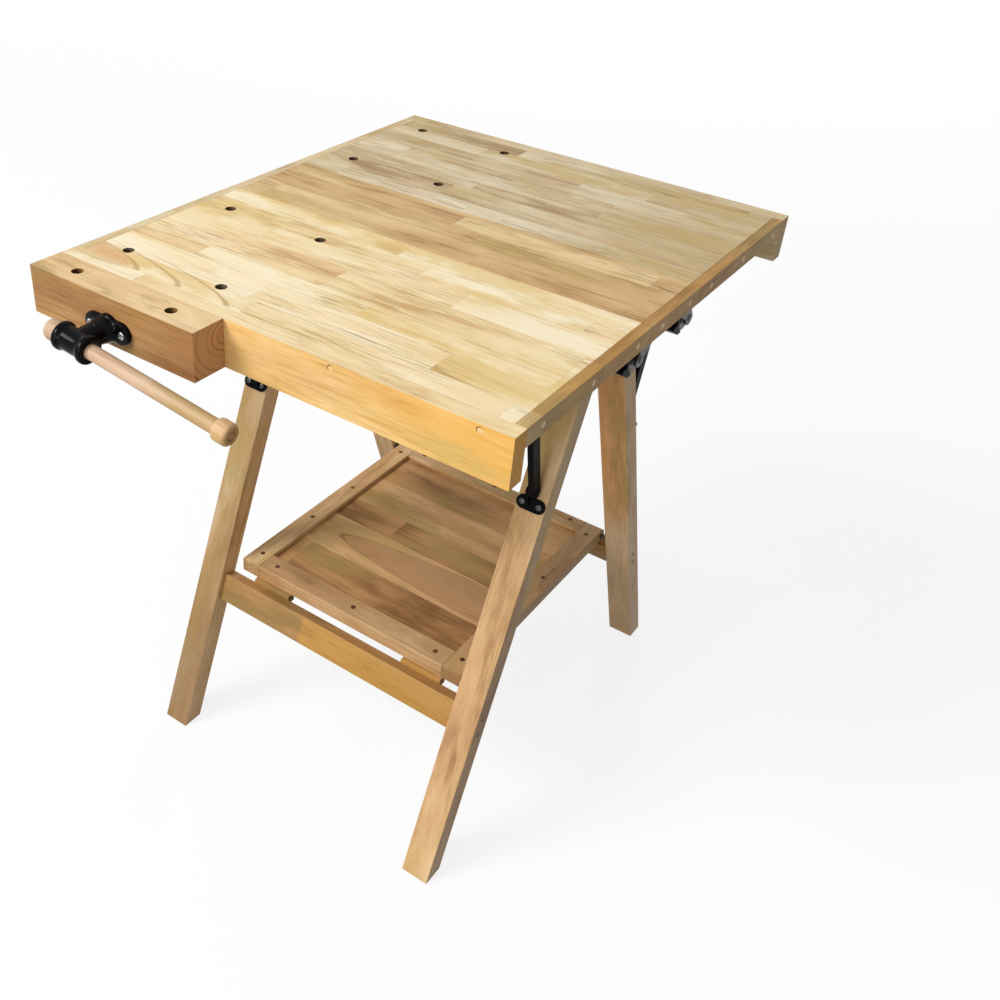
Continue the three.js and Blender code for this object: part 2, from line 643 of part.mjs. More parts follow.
function jawGeometry() {
  const half = JAW_WIDTH / 2;
  const top = TOP_HEIGHT - viseHeight;
  const back = halfDepth + GLUE_GAP;
  const jaw = block([-half, back, top - APRON_HEIGHT], [half, jawFront, top]);
  const row = halfDepth + JAW_DEPTH / 2;
  const dogs = dogColumns.map((column) =>
    rodAlongZ(DOG_HOLE_RADIUS, top - APRON_HEIGHT - OVERSHOOT, top + OVERSHOOT, column - jawCentre, row),
  );
  const rodEnd = halfDepth + GUIDE_ROD_EMBED + GLUE_GAP;
  const rodBores = [-GUIDE_ROD_OFFSET, GUIDE_ROD_OFFSET].map((offset) =>
    rodAlongY(GUIDE_ROD_RADIUS + GLUE_GAP, back - OVERSHOOT, rodEnd, offset, 0),
  );
  const screwBore = rodAlongY(SCREW_RADIUS + RUNNING_GAP, back - OVERSHOOT, jawFront + OVERSHOOT, 0, 0);
  return cut(jaw, screwBore, ...rodBores, ...dogs);
}

function flangeGeometry() {
  const back = jawFront + GLUE_GAP;
  const plate = extrudeAlongZ(oblong(FLANGE_WIDTH, FLANGE_HEIGHT), 0, FLANGE_THICKNESS);
  plate.rotateX(-Math.PI / 2).translate(0, back, 0);
  const neckEnd = back + FLANGE_THICKNESS + NECK_LENGTH;
  const baseRadius = SCREW_RADIUS + NECK_BASE_WALL;
  const tipRadius = SCREW_RADIUS + NECK_TIP_WALL;
  const neck = coneAlongY(baseRadius, tipRadius, back + OVERSHOOT, neckEnd, 0, 0);
  const bore = rodAlongY(SCREW_RADIUS + RUNNING_GAP, back - OVERSHOOT, neckEnd + OVERSHOOT, 0, 0);
  return cut(join(plate, neck), bore);
}

function nutGeometry() {
  const front = apronBack - GLUE_GAP;
  const plate = block(
    [-NUT_WIDTH / 2, front - NUT_PLATE, -nutHalf],
    [NUT_WIDTH / 2, front, nutHalf],
  );
  const boss = rodAlongY(nutHalf, front - NUT_DEPTH, front - OVERSHOOT, 0, 0);
  const back = front - NUT_DEPTH - OVERSHOOT;
  const bore = rodAlongY(SCREW_RADIUS + RUNNING_GAP, back, front + OVERSHOOT, 0, 0);
  return cut(join(plate, boss), bore);
}

function screwGeometry() {
  const tail = apronBack - NUT_DEPTH - JAW_TRAVEL - SCREW_RUN_OUT;
  const neckEnd = jawFront + GLUE_GAP + FLANGE_THICKNESS + NECK_LENGTH;
  const shaft = rodAlongY(SCREW_RADIUS, tail, hubCentre, 0, 0);
  const shoulder = rodAlongY(SCREW_RADIUS + SHOULDER_LIP, neckEnd + RUNNING_GAP, hubCentre, 0, 0);
  const half = HUB_LENGTH / 2;
  const sleeve = rodAlongX(hubRadius, -half, half, hubCentre, 0, ROUND_SIDES);
  const collars = [-half, half - HUB_COLLAR_LENGTH].map((from) =>
    rodAlongX(collarRadius, from, from + HUB_COLLAR_LENGTH, hubCentre, 0, ROUND_SIDES),
  );
  const boreEnd = half + OVERSHOOT;
  const bore = rodAlongX(HANDLE_RADIUS + RUNNING_GAP, -boreEnd, boreEnd, hubCentre, 0, ROUND_SIDES);
  return cut(join(shaft, shoulder, sleeve, ...collars), bore);
}

// A turned piece about the handle's axis, from points of radius and distance along the handle.
function turned(points) {
  const profile = points.map(([radius, along]) => new THREE.Vector2(radius, along));
  return new THREE.LatheGeometry(profile, ROUND_SIDES);
}

// A turned piece's domed end, as points from the axis out to the full radius.
function dome(radius, end, depth) {
  return Array.from({ length: DOME_STEPS + 1 }, (unused, step) => {
    const angle = (step * Math.PI) / 2 / DOME_STEPS;
    return [radius * Math.sin(angle), end + depth * (1 - Math.cos(angle))];
  });
}

function handleBarGeometry() {
  const knobFoot = -HUB_LENGTH / 2 - GLUE_GAP;
  const knobEnd = knobFoot - KNOB_LENGTH;
  const barEnd = HANDLE_REACH - CAP_LENGTH + CAP_SOCKET;
  return turned([
    ...dome(knobRadius, knobEnd, KNOB_DOME),
    [knobRadius, knobFoot],
    [HANDLE_RADIUS, knobFoot],
    [HANDLE_RADIUS, barEnd],
    [0, barEnd],
  ]);
}

function handleCapGeometry() {
  const foot = HANDLE_REACH - CAP_LENGTH;
  const socketEnd = foot + CAP_SOCKET + GLUE_GAP;
  const socketRadius = HANDLE_RADIUS + GLUE_GAP;
  return turned([
    [0, socketEnd],
    [socketRadius, socketEnd],
    [socketRadius, foot],
    [capRadius - CAP_SHOULDER / 2, foot],
    [capRadius, foot + CAP_SHOULDER],
    ...dome(capRadius, HANDLE_REACH, -CAP_DOME).reverse(),
  ]);
}

// The whole bench

const group = new THREE.Group();
group.position.y = (frontReach - halfDepth) / 2;
addSpine(group);
for (const side of sides) {
  const half = addGroup(group, 0, 0, 0);
  half.scale.y = side.sign;
  addLeaf(half, side);
  addHinges(half, side);
  const frame = addLegFrame(half, side);
  addStays(half, frame, side);
  if (side.name === "rear") {
    addShelf(frame);
  } else {
    addVise(half);
  }
}

export default group;
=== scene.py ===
# %% [markdown]
# # A folding workbench
# The bench is made of pale hardwood staves glued edge to edge, with black stays, zinc hinges and a
# black front vise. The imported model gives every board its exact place. This lesson keeps those
# boards, eases their edges, gives each one its own solid wood grain, and builds the round metal
# and turned pieces again with smooth surfaces.

# %% Load the frame
import json
import math
import bpy
from mathutils import Matrix, Vector


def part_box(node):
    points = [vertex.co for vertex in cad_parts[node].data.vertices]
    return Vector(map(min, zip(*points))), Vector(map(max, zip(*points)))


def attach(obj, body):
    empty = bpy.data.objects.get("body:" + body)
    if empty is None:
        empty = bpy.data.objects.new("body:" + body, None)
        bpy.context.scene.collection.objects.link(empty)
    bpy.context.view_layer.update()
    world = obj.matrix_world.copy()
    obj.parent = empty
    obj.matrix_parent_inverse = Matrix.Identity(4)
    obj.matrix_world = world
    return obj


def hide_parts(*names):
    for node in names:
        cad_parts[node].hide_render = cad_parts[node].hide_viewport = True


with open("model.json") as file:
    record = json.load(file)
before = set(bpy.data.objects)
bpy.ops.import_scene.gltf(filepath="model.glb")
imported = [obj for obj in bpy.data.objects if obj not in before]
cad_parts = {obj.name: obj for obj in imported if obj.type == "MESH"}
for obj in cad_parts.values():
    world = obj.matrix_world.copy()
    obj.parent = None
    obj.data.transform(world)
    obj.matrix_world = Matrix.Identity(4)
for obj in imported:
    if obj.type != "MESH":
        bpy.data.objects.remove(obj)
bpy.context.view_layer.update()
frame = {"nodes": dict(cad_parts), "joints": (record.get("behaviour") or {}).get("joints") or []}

MM = 0.001
NODES = frame["nodes"]
JOINTS = {joint["name"]: joint for joint in frame["joints"]}
SIDES = {"front": -1, "rear": 1}
ENDS = {"left": -1, "right": 1}

# %% [markdown]
# ## The camera
# The photograph looks down on the bench from its front right corner. The place and the angles
# were worked out from the square corners of the top and the feet on the floor. The picture was
# cropped off centre, so the lens is shifted by the same amount instead of turning the camera,
# which would bend the verticals. A camera looks down its own -Z, so it is tilted up from there first.

# %% Set up the camera
PICTURE = 1000
FOCAL_PIXELS = 1132.9
OPTICAL_CENTRE = (391.1, 443.4)
CAMERA_PLACE = Vector((0.7949, -1.2171, 1.4796))
CAMERA_AZIMUTH = math.radians(34.45)
CAMERA_ELEVATION = math.radians(33.40)
CAMERA_ROLL = math.radians(3.13)



def add_object(name, data):
    made = bpy.data.objects.new(name, data)
    bpy.context.scene.collection.objects.link(made)
    return made


camera_data = bpy.data.cameras.new("bench_camera")
camera_data.sensor_width = 36
camera_data.lens = FOCAL_PIXELS / PICTURE * camera_data.sensor_width
camera_data.shift_x = (PICTURE / 2 - OPTICAL_CENTRE[0]) / PICTURE
camera_data.shift_y = (OPTICAL_CENTRE[1] - PICTURE / 2) / PICTURE
camera = add_object("bench_camera", camera_data)
heading = Matrix.Rotation(CAMERA_AZIMUTH, 4, "Z")
tilt = Matrix.Rotation(math.pi / 2 - CAMERA_ELEVATION, 4, "X")
roll = Matrix.Rotation(CAMERA_ROLL, 4, "Z")
camera.matrix_world = Matrix.Translation(CAMERA_PLACE) @ heading @ tilt @ roll
bpy.context.scene.camera = camera
bpy.context.scene.view_settings.view_transform = "Standard"
print("lens", round(camera_data.lens, 2), "shift", camera_data.shift_x, camera_data.shift_y)

# %% [markdown]
# ## Shader maths as Python
# A grain pattern is arithmetic on coordinates. Wiring every Math node by hand hides the formula,
# so one small class wraps an output socket: adding or multiplying two of them adds the Math node.
# Every other node comes from its one method, which sets the node's settings before its sockets.

# %% The socket class
def maths(operation, reflected=False):
    """A method that adds one Math node. Reflected, its own value comes last, as in 1 - mask."""
    def method(self, *others):
        values = (*others, self) if reflected else (self, *others)
        return self.node("ShaderNodeMath", {"operation": operation}, enumerate(values))
    return method


class Field:
    """One output socket of a material: a number, vector or colour that varies over a surface."""

    def __init__(self, tree, socket):
        self.tree = tree
        self.socket = socket

    def node(self, kind, settings=(), inputs=(), output=0):
        """A node of any kind in the same tree, as the Field of one of its outputs."""
        made = self.tree.nodes.new(kind)
        for name, value in dict(settings).items():
            setattr(made, name, value)
        for name, value in dict(inputs).items():
            if isinstance(value, Field):
                self.tree.links.new(value.socket, made.inputs[name])
            else:
                made.inputs[name].default_value = value
        return Field(self.tree, made.outputs[output])

    __add__ = maths("ADD")
    __radd__ = maths("ADD", reflected=True)
    __sub__ = maths("SUBTRACT")
    __rsub__ = maths("SUBTRACT", reflected=True)
    __mul__ = maths("MULTIPLY")
    __rmul__ = maths("MULTIPLY", reflected=True)
    __truediv__ = maths("DIVIDE")
    __rtruediv__ = maths("DIVIDE", reflected=True)
    __abs__ = maths("ABSOLUTE")
    floor = maths("FLOOR")
    sine = maths("SINE")
    root = maths("SQRT")
    largest = maths("MAXIMUM")
    smallest = maths("MINIMUM")

    def step(self, low, high):
        """0 at low, 1 at high, and a smooth change between them, whichever of the two is larger."""
        settings = {"interpolation_type": "SMOOTHSTEP"}
        inputs = {"Value": self, "From Min": low, "From Max": high}
        return self.node("ShaderNodeMapRange", settings, inputs)

    def dot(self, direction):
        settings = {"operation": "DOT_PRODUCT"}
        return self.node("ShaderNodeVectorMath", settings, {0: self, 1: direction}, "Value")


COLOUR_A, COLOUR_B, COLOUR_OUT = 6, 7, 2


def mix(amount, first, second):
    """The colour first where amount is 0, and second where it is 1."""
    inputs = {0: amount, COLOUR_A: first, COLOUR_B: second}
    return amount.node("ShaderNodeMix", {"data_type": "RGBA"}, inputs, COLOUR_OUT)


def point(x, y, z):
    return x.node("ShaderNodeCombineXYZ", (), enumerate((x, y, z)))


def noise(place, detail=2.0, roughness=0.5):
    inputs = {"Vector": place, "Scale": 1.0, "Detail": detail, "Roughness": roughness}
    return place.node("ShaderNodeTexNoise", (), inputs)


def random_three(place):
    """Three unlike random numbers for each whole-number place."""
    settings = {"noise_dimensions": "3D"}
    colour = place.node("ShaderNodeTexWhiteNoise", settings, {"Vector": place}, "Color")
    names = ("Red", "Green", "Blue")
    return [colour.node("ShaderNodeSeparateColor", (), {"Color": colour}, name) for name in names]


def shade(red, green, blue):
    """A colour as read from a picture, 0 to 255, as the linear colour that a shader takes."""
    def linear(value):
        part = value / 255
        return part / 12.92 if part <= 0.04045 else ((part + 0.055) / 1.055) ** 2.4
    return (linear(red), linear(green), linear(blue), 1)


def scaled(colour, amount):
    return tuple(value * amount for value in colour[:3]) + (1,)


def paler(tones, amount):
    return [scaled(tone, amount) for tone in tones]


def new_material(name):
    """An empty procedural material: its shader node, and a Field to start its formulas from."""
    material = bpy.data.materials.new(name)
    material.use_nodes = True
    shader = material.node_tree.nodes["Principled BSDF"]
    return material, shader, Field(material.node_tree, shader.outputs[0])


def feed(shader, name, field):
    field.tree.links.new(field.socket, shader.inputs[name])


def relief(height, strength, distance):
    """A height as a bumped normal."""
    inputs = {"Strength": strength, "Distance": distance, "Height": height}
    return height.node("ShaderNodeBump", (), inputs)


print("shader maths ready")

# %% [markdown]
# ## The wood
# The real boards are rubberwood: staves of slightly different honey tones, glued into wide panels,
# with thin dark pore lines, soft brown streaks, faint growth rings and a satin lacquer. A flat
# picture of grain would not agree from the top of a board to its end. So the grain is a solid
# pattern in the bench's own space: rows of staves, growth rings round a heart outside the board,
# lines and streaks drawn out along the grain. Cutting the pattern with a board's faces gives long
# lines on its top and ring arcs on its ends by itself.

# %% Staves, rings and figure
RING_WIDTH = 8.5 * MM
GLUE_LINE = 0.3 * MM
ACROSS_X = Vector((1, 0, 0))
ACROSS_Y = Vector((0, 1, 0))
UPWARDS = Vector((0, 0, 1))
# Each kind of figure: repeats to the metre along the grain and across it, detail, roughness, shift.
FIGURES = {
    "cloud": (4.4, 15),
    "hue": (2.4, 11, 1.0, 0.5, 7),
    "mottle": (13, 34, 4.0, 0.62),
    "streak": (6.0, 130),
    "lined": (4, 22, 1.0, 0.5, 3),
    "line": (15, 420),
    "fibre": (24, 760, 2.0, 0.6),
}


def laid_staves(u, v, stave, uneven, seed):
    """Each stave's number, three random values, distance from its middle, and the glue lines."""
    width, length = stave
    even_rows = v / width + 0.5
    rows = even_rows + uneven * (even_rows * 2.1 + seed).sine()
    row = rows.floor()
    row_random = random_three(point(row, seed, 5))
    runs = u / length * (0.75 + 0.7 * row_random[0]) + 9 * row_random[1] + 0.5
    run = runs.floor()
    row_place = rows - row
    run_place = runs - run
    edge = row_place.smallest(1 - row_place) * width
    end_edge = run_place.smallest(1 - run_place) * length
    glue = 1 - edge.smallest(end_edge).step(GLUE_LINE * 0.5, GLUE_LINE * 2)
    return row + run, random_three(point(row, run, seed)), (row_place - 0.5) * width, glue


def growth_rings(along_stave, off_heart, above_heart, bend, stave_number):
    """Thin dark latewood lines round a heart, some bold and some faint."""
    radius = (off_heart * off_heart + above_heart * above_heart).root()
    growth = (radius + along_stave * 0.030 + bend * 0.016) / RING_WIDTH
    number = growth.floor()
    ring = growth - number
    boldness = random_three(point(number, stave_number, 3))[0]
    return ring.step(0.45, 0.92) * (1 - ring.step(0.95, 1.0)) * (0.15 + 0.85 * boldness * boldness)


def drawn_out(slid, side, depth, along, across, detail=2.0, roughness=0.5, shift=0):
    """Noise stretched along the grain."""
    return noise(point(slid * along, side * across + shift, depth * across), detail, roughness)


def tongues(place, bend, axis, curve, way, tips):
    """Nested tongues where a stave was cut through its heart: a soft fill and thin dark outlines."""
    off_axis = place.dot(ACROSS_Y) - axis
    reach = way * place.dot(ACROSS_X) + curve * off_axis * off_axis + bend * 0.06
    near = 1 - abs(off_axis).step(0.035, 0.060)
    outline = sum(1 - abs(reach - way * tip).step(0.002, 0.009) for tip in tips)
    fill = 1 - (reach - way * tips[0]).step(-0.02, 0.002)
    return fill * near, outline * near


def bored(place, centre, pitch, radius):
    """1 inside two by two upright holes, from the middle between them and the pitch each way."""
    out_x = abs(abs(place.dot(ACROSS_X) - centre.x) - pitch[0] / 2)
    out_y = abs(abs(place.dot(ACROSS_Y) - centre.y) - pitch[1] / 2)
    return 1 - (out_x * out_x + out_y * out_y).root().step(radius, radius * 1.02)


print("ring", RING_WIDTH, "m, glue line", GLUE_LINE, "m, figures", *FIGURES)

# %% [markdown]
# The tones are laid on in layers, as a finisher would see them: the level of light and dark first,
# then pinkish and olive patches, pores and glue lines. The surface normal tells the end grain, the
# rubbed edges and the faces that take a second set of tones apart. On the apron that second set is
# a second stave; on the legs' right sides, the stretchers' tops and the jaw's top it is painted light
# and shade. A run is a stretch along the grain that takes on another colour. The walls of bored
# holes are painted nearly black: painted shade inside the holes.

# %% The wood recipe
PAINTED_BORE_SHADE = shade(52, 32, 16)
PINK_TINT = shade(214, 160, 116)
OLIVE_TINT = shade(222, 188, 112)
HEART_DEPTH = 20 * MM
HEART_REACH = 60 * MM
EVEN_LEVEL = 0.62
CLOUD_DEPTH, MOTTLE_DEPTH, FIBRE_DEPTH, STREAK_DEPTH, RING_DEPTH = 0.95, 0.70, 0.50, 0.36, 0.20
PALE_SHARE, RUN_SHARE = 0.8, 0.5
PINK_SHARE, OLIVE_SHARE = 0.22, 0.60
FILL_SHARE, OUTLINE_SHARE = 0.55, 0.62
PORE_SHARE, GLUE_SHARE = 0.70, 0.16
RUB_SHARE, BORE_SHADE_SHARE = 0.25, 0.86


def wood(
    name, centre, along, across, tones, stave, seed, uneven=0.0, staves=0.22, streaks=1.0, lines=1.0,
    rings=1.0, clouds=1.0, end_tone=None, sheen=0.48, second=None, pale_run=None, tone_run=None,
    tongue=None, holes=None,
):
    """Wood grown along one way: tones are (dark, middle, pale), stave is (width, length) in metres."""
    material, shader, start = new_material(name)
    place = start.node("ShaderNodeTexCoord", output="Object")
    facing = start.node("ShaderNodeTexCoord", output="Normal")
    deep = along.cross(across)
    u, v, w = (place.dot(axis) - centre.dot(axis) for axis in (along, across, deep))
    number, (tone, tint, heart), off_middle, glue = laid_staves(u, v, stave, uneven, seed)
    slid = u + 3 * tone + seed
    bend = noise(point(slid * 3.2, v * 7, w * 7)) - 0.5
    side = v + bend * 0.012 + tint
    depth = w + bend * 0.012
    off_heart = off_middle + (tint - 0.5) * 0.05
    above_heart = depth + HEART_DEPTH + heart * HEART_REACH
    latewood = growth_rings(slid * (tone - 0.5) * 2, off_heart, above_heart, bend, number)
    figure = {kind: drawn_out(slid, side, depth, *sizes) for kind, sizes in FIGURES.items()}
    cloud = figure["cloud"] - 0.5
    mottle = figure["mottle"] - 0.5
    fibre = figure["fibre"] - 0.5
    streak = figure["streak"].step(0.52, 0.76)
    lined = figure["lined"].step(0.40, 0.60) * (0.2 + 0.8 * heart)
    pores = figure["line"].step(0.50, 0.62) * lined
    level = EVEN_LEVEL + staves * (tone - 0.5) + CLOUD_DEPTH * clouds * cloud + MOTTLE_DEPTH * mottle
    level = level + FIBRE_DEPTH * fibre - STREAK_DEPTH * streaks * streak - RING_DEPTH * rings * latewood
    dark, medium, pale = tones
    # Faces turned one way take the second tones: a second stave on the apron, painted light and shade on
    # the legs' right sides, the stretchers' tops and the jaw's top.
    if second:
        way, second_tones = second
        on_second = facing.dot(way).step(0.6, 0.9)
        dark, medium, pale = (mix(on_second, *pair) for pair in zip(tones, second_tones))
    colour = mix(level.step(0.45, 0.95), mix(level.step(0.02, 0.55), dark, medium), pale)
    if pale_run:
        until, pale_wood = pale_run
        share = (1 - u.step(until, until + GLUE_LINE)) * (on_second if second else 1)
        colour = mix(share * PALE_SHARE, colour, pale_wood)
    if tone_run:
        run_start, run_full, run_wood = tone_run
        share = u.step(run_start, run_full) * (1 - on_second if second else 1)
        colour = mix(share * RUN_SHARE, colour, run_wood)
    pink = scaled(PINK_TINT, tones[1][0] / PINK_TINT[0])
    olive = scaled(OLIVE_TINT, 0.84 * tones[1][0] / OLIVE_TINT[0])
    patch = figure["hue"] + 0.5 * mottle
    colour = mix(patch.step(0.54, 0.76) * PINK_SHARE, colour, pink)
    colour = mix((1 - patch).step(0.52, 0.68) * OLIVE_SHARE, colour, olive)
    if tongue:
        fill, outline = tongues(place, bend, *tongue)
        colour = mix(fill * FILL_SHARE, colour, scaled(pink, 0.76))
        colour = mix(outline * OUTLINE_SHARE, colour, scaled(tones[0], 0.74))
    colour = mix(pores * PORE_SHARE * lines, colour, scaled(tones[0], 0.60))
    colour = mix(glue * GLUE_SHARE, colour, scaled(tones[0], 0.50))
    tips, sides, faces = (abs(facing.dot(axis)) for axis in (along, across, deep))
    end_grain = tips.step(0.75, 0.95)
    rubbed = 1 - tips.largest(sides.largest(faces)).step(0.80, 0.985)
    # End grain; for the jaw, end_tone is a pale tone that paints light on its end.
    colour = mix(end_grain * (0.62 - 0.55 * latewood), colour, end_tone or scaled(tones[0], 1.1))
    colour = mix(rubbed * RUB_SHARE, colour, scaled(tones[2], 1.03))
    # Painted shade: the walls inside bored holes are painted nearly black.
    if holes:
        colour = mix(bored(place, *holes) * BORE_SHADE_SHARE, colour, PAINTED_BORE_SHADE)
    feed(shader, "Base Color", colour)
    feed(shader, "Roughness", sheen + 0.18 * fibre + 0.10 * pores + 0.16 * end_grain - 0.06 * rubbed)
    height = 0.5 * figure["fibre"] - 0.5 * pores - 0.2 * latewood - 1.0 * glue
    feed(shader, "Normal", relief(height, 0.20, 0.5 * MM))
    shader.inputs["Specular IOR Level"].default_value = 0.18
    shader.inputs["Coat Weight"].default_value = 0.03
    shader.inputs["Coat Roughness"].default_value = 0.30
    return material


print("wood recipe ready")

# %% [markdown]
# ## Easing the boards
# Real boards have their corners rubbed round before the lacquer goes on, and that thin round edge
# is what catches the light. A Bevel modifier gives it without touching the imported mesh. The mesh
# arrives as loose triangles, so Weld joins them and Decimate merges flat neighbours first, and a
# second Weld closes the slits that very short edges leave.

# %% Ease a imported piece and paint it
WELD_REACH = 0.01 * MM
FLAT_ANGLE = math.radians(1)
SHARP_ANGLE = math.radians(32)


def weld(thing, name):
    thing.modifiers.new(name, "WELD").merge_threshold = WELD_REACH


def round_edges(thing, width, segments=3):
    """Rounds a piece's sharp edges by the given width in metres."""
    bevel = thing.modifiers.new("ease", "BEVEL")
    bevel.width = width
    bevel.segments = segments
    bevel.limit_method = "ANGLE"
    bevel.angle_limit = SHARP_ANGLE


def board(name, material, width=1.2 * MM, segments=3):
    """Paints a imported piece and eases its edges."""
    thing = NODES[name]
    for place in thing.material_slots:
        place.material = material
    weld(thing, "weld")
    flatten = thing.modifiers.new("flatten", "DECIMATE")
    flatten.decimate_type = "DISSOLVE"
    flatten.angle_limit = FLAT_ANGLE
    round_edges(thing, width, segments)
    weld(thing, "close")


def corners_of(name):
    """The low and the high corner of a node's box."""
    return [Vector(corner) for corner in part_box(name)]


def middle(name):
    return sum(corners_of(name), Vector()) / 2


print("edges sharper than", round(math.degrees(SHARP_ANGLE)), "degrees are eased")

# %% [markdown]
# ## The top
# The top is three panels of staves: a browner spine in the middle, a pale yellow front leaf and a
# greyer rear leaf, each with its own mix of tones. Their grain runs along the bench, and amber
# battens with the grain running across close their ends. Each panel gets the same recipe with its
# own tones and seed, which is how a maker sorts staves before gluing. The panels and battens are
# glued flush and sanded together, so their edges are eased much less than a loose board's. The
# apron's top is paler than its front, and ends in a nearly white stave on the left. The right
# batten has a short paler piece let in at its front end.

# %% Paint the top
GLUED_EASE = 0.35 * MM
PANEL_STAVE = (0.048, 0.34)
BATTEN_STAVE = (0.06, 0.60)
APRON_STAVE = (0.12, 40.0)
FRONT_TONES = (shade(198, 156, 96), shade(240, 215, 165), shade(250, 237, 204))
SPINE_TONES = (shade(158, 114, 64), shade(207, 172, 118), shade(230, 203, 153))
REAR_TONES = (shade(160, 128, 84), shade(207, 186, 146), shade(228, 215, 184))
APRON_TONES = (shade(190, 136, 70), shade(222, 180, 112), shade(236, 204, 146))
LEFT_BATTEN_TONES = (shade(164, 132, 88), shade(212, 188, 146), shade(230, 212, 176))
RIGHT_BATTEN_TONES = (shade(118, 78, 32), shade(168, 123, 58), shade(192, 153, 90))
APRON_PALE_RUN = (-217 * MM, shade(250, 238, 206))
APRON_AMBER_RUN = (90 * MM, 330 * MM, shade(228, 164, 44))
BATTEN_TIP = (-345 * MM, shade(226, 192, 140))
REAR_WARM_RUN = (0, 250 * MM, shade(186, 160, 112))
FRONT_TONGUES = (-316 * MM, 80.0, 1, (-236 * MM, -165 * MM, -75 * MM))
HOLE_RADIUS = 8.0 * MM
HOLE_COLUMNS = (-287 * MM, -120 * MM)
HOLE_ROW_PITCH = 197 * MM
LEAF_HOLE_MIDDLE = {"front": -181 * MM, "rear": 306 * MM}
hole_column_middle = sum(HOLE_COLUMNS) / 2
hole_column_pitch = HOLE_COLUMNS[1] - HOLE_COLUMNS[0]


def holes_at(y, row_pitch):
    """Two columns of holes about the given Y, for the wood recipe."""
    return Vector((hole_column_middle, y, 0)), (hole_column_pitch, row_pitch), HOLE_RADIUS


# The hole layouts go to the wood recipe, which paints shade on the holes' walls.
leaf_holes = {side: holes_at(y, HOLE_ROW_PITCH) for side, y in LEAF_HOLE_MIDDLE.items()}
panels = {
    "front_leaf_panel": (FRONT_TONES, 1.3, {"holes": leaf_holes["front"], "tongue": FRONT_TONGUES}),
    "spine_board": (SPINE_TONES, 4.1, {}),
    "rear_leaf_panel": (REAR_TONES, 7.7, {"holes": leaf_holes["rear"], "tone_run": REAR_WARM_RUN}),
}
for name, (tones, seed, special) in panels.items():
    look = {"uneven": 0.2, "staves": 0.36, "streaks": 0.7, "clouds": 1.15, **special}
    grain = wood(name, middle(name), ACROSS_X, ACROSS_Y, tones, PANEL_STAVE, seed, **look)
    board(name, grain, GLUED_EASE)
for end, tones, tip in (("left", LEFT_BATTEN_TONES, None), ("right", RIGHT_BATTEN_TONES, BATTEN_TIP)):
    place = middle(f"spine_batten_{end}")
    look = {"lines": 0.7, "pale_run": tip}
    grain = wood(f"batten_{end}", place, ACROSS_Y, ACROSS_X, tones, BATTEN_STAVE, 2.3, **look)
    for part in ("front_leaf", "spine", "rear_leaf"):
        board(f"{part}_batten_{end}", grain, GLUED_EASE)
front_apron_look = {
    "second": (UPWARDS, FRONT_TONES), "pale_run": APRON_PALE_RUN, "tone_run": APRON_AMBER_RUN,
}
apron_looks = {"front": (APRON_TONES, front_apron_look), "rear": (REAR_TONES, {})}
for side, (tones, look) in apron_looks.items():
    name = f"{side}_apron"
    grain = wood(name, middle(name), ACROSS_X, UPWARDS, tones, APRON_STAVE, 3.6, lines=0.8, **look)
    board(name, grain, GLUED_EASE)
print("top boards", len(panels) + 3 * len(ENDS) + len(SIDES))

# %% [markdown]
# ## The legs, their cross pieces and the shelf
# The leg frames are single pieces of a browner wood, so each one gets a stave wide enough to hold
# all of it. The grain follows the leg, which leans 21.3 degrees, so the grain axis leans with it:
# the pattern is worked out in the leg's own directions rather than the room's. No two legs or rails
# have the same tone: each has its own paleness. The rails are darker than their tones, and for the
# rear and right rails, which lie under the top, that darkness is painted shade; the right rail's
# front end, out from under it, is painted lighter. The legs' right sides get painted light and shade,
# the front left one much paler and the front right one darker, and the stretchers' tops are painted
# paler than their fronts as painted light. The front left leg is darker towards its foot, and the
# rear right leg's upper half is painted warmer and lighter, partly its own tone and partly painted
# light where the top shades it. The shelf is a panel of wide staves in a grooved frame.

# %% Paint the frames and the shelf
LEG_SPLAY = math.radians(21.3)
FRAME_TONES = (shade(132, 92, 54), shade(186, 150, 106), shade(208, 180, 140))
STRETCHER_TONES = (shade(101, 64, 31), shade(144, 106, 61), shade(170, 132, 83))
RAIL_TONES = (shade(142, 102, 62), shade(204, 160, 110), shade(236, 202, 152))
SHELF_TONES = (shade(126, 87, 50), shade(182, 138, 90), shade(208, 166, 118))
LEG_PALENESS = {"front_left": 0.82, "front_right": 1.16, "rear_left": 1.0, "rear_right": 1.15}
# Painted light and shade on each leg's right side: above 1 is painted paler, below 1 darker.
LEG_SIDE_PAINTED_LIGHT = {"front_left": 1.55, "front_right": 0.88, "rear_left": 1.0, "rear_right": 1.05}
# Front left leg darker towards its foot; rear right leg's upper half warmer and lighter, partly painted
# light under the top.
LEG_TONE_AND_LIGHT_RUNS = {
    "front_left": (150 * MM, 290 * MM, shade(100, 66, 30)),
    "rear_right": (120 * MM, 0, shade(250, 180, 112)),
}
# Rail tones with painted shade: the rear and right rails are darkened where they lie under the top.
RAIL_TONE_AND_SHADE = {"front": 0.72, "rear": 0.75, "left": 0.85, "right": 0.62}
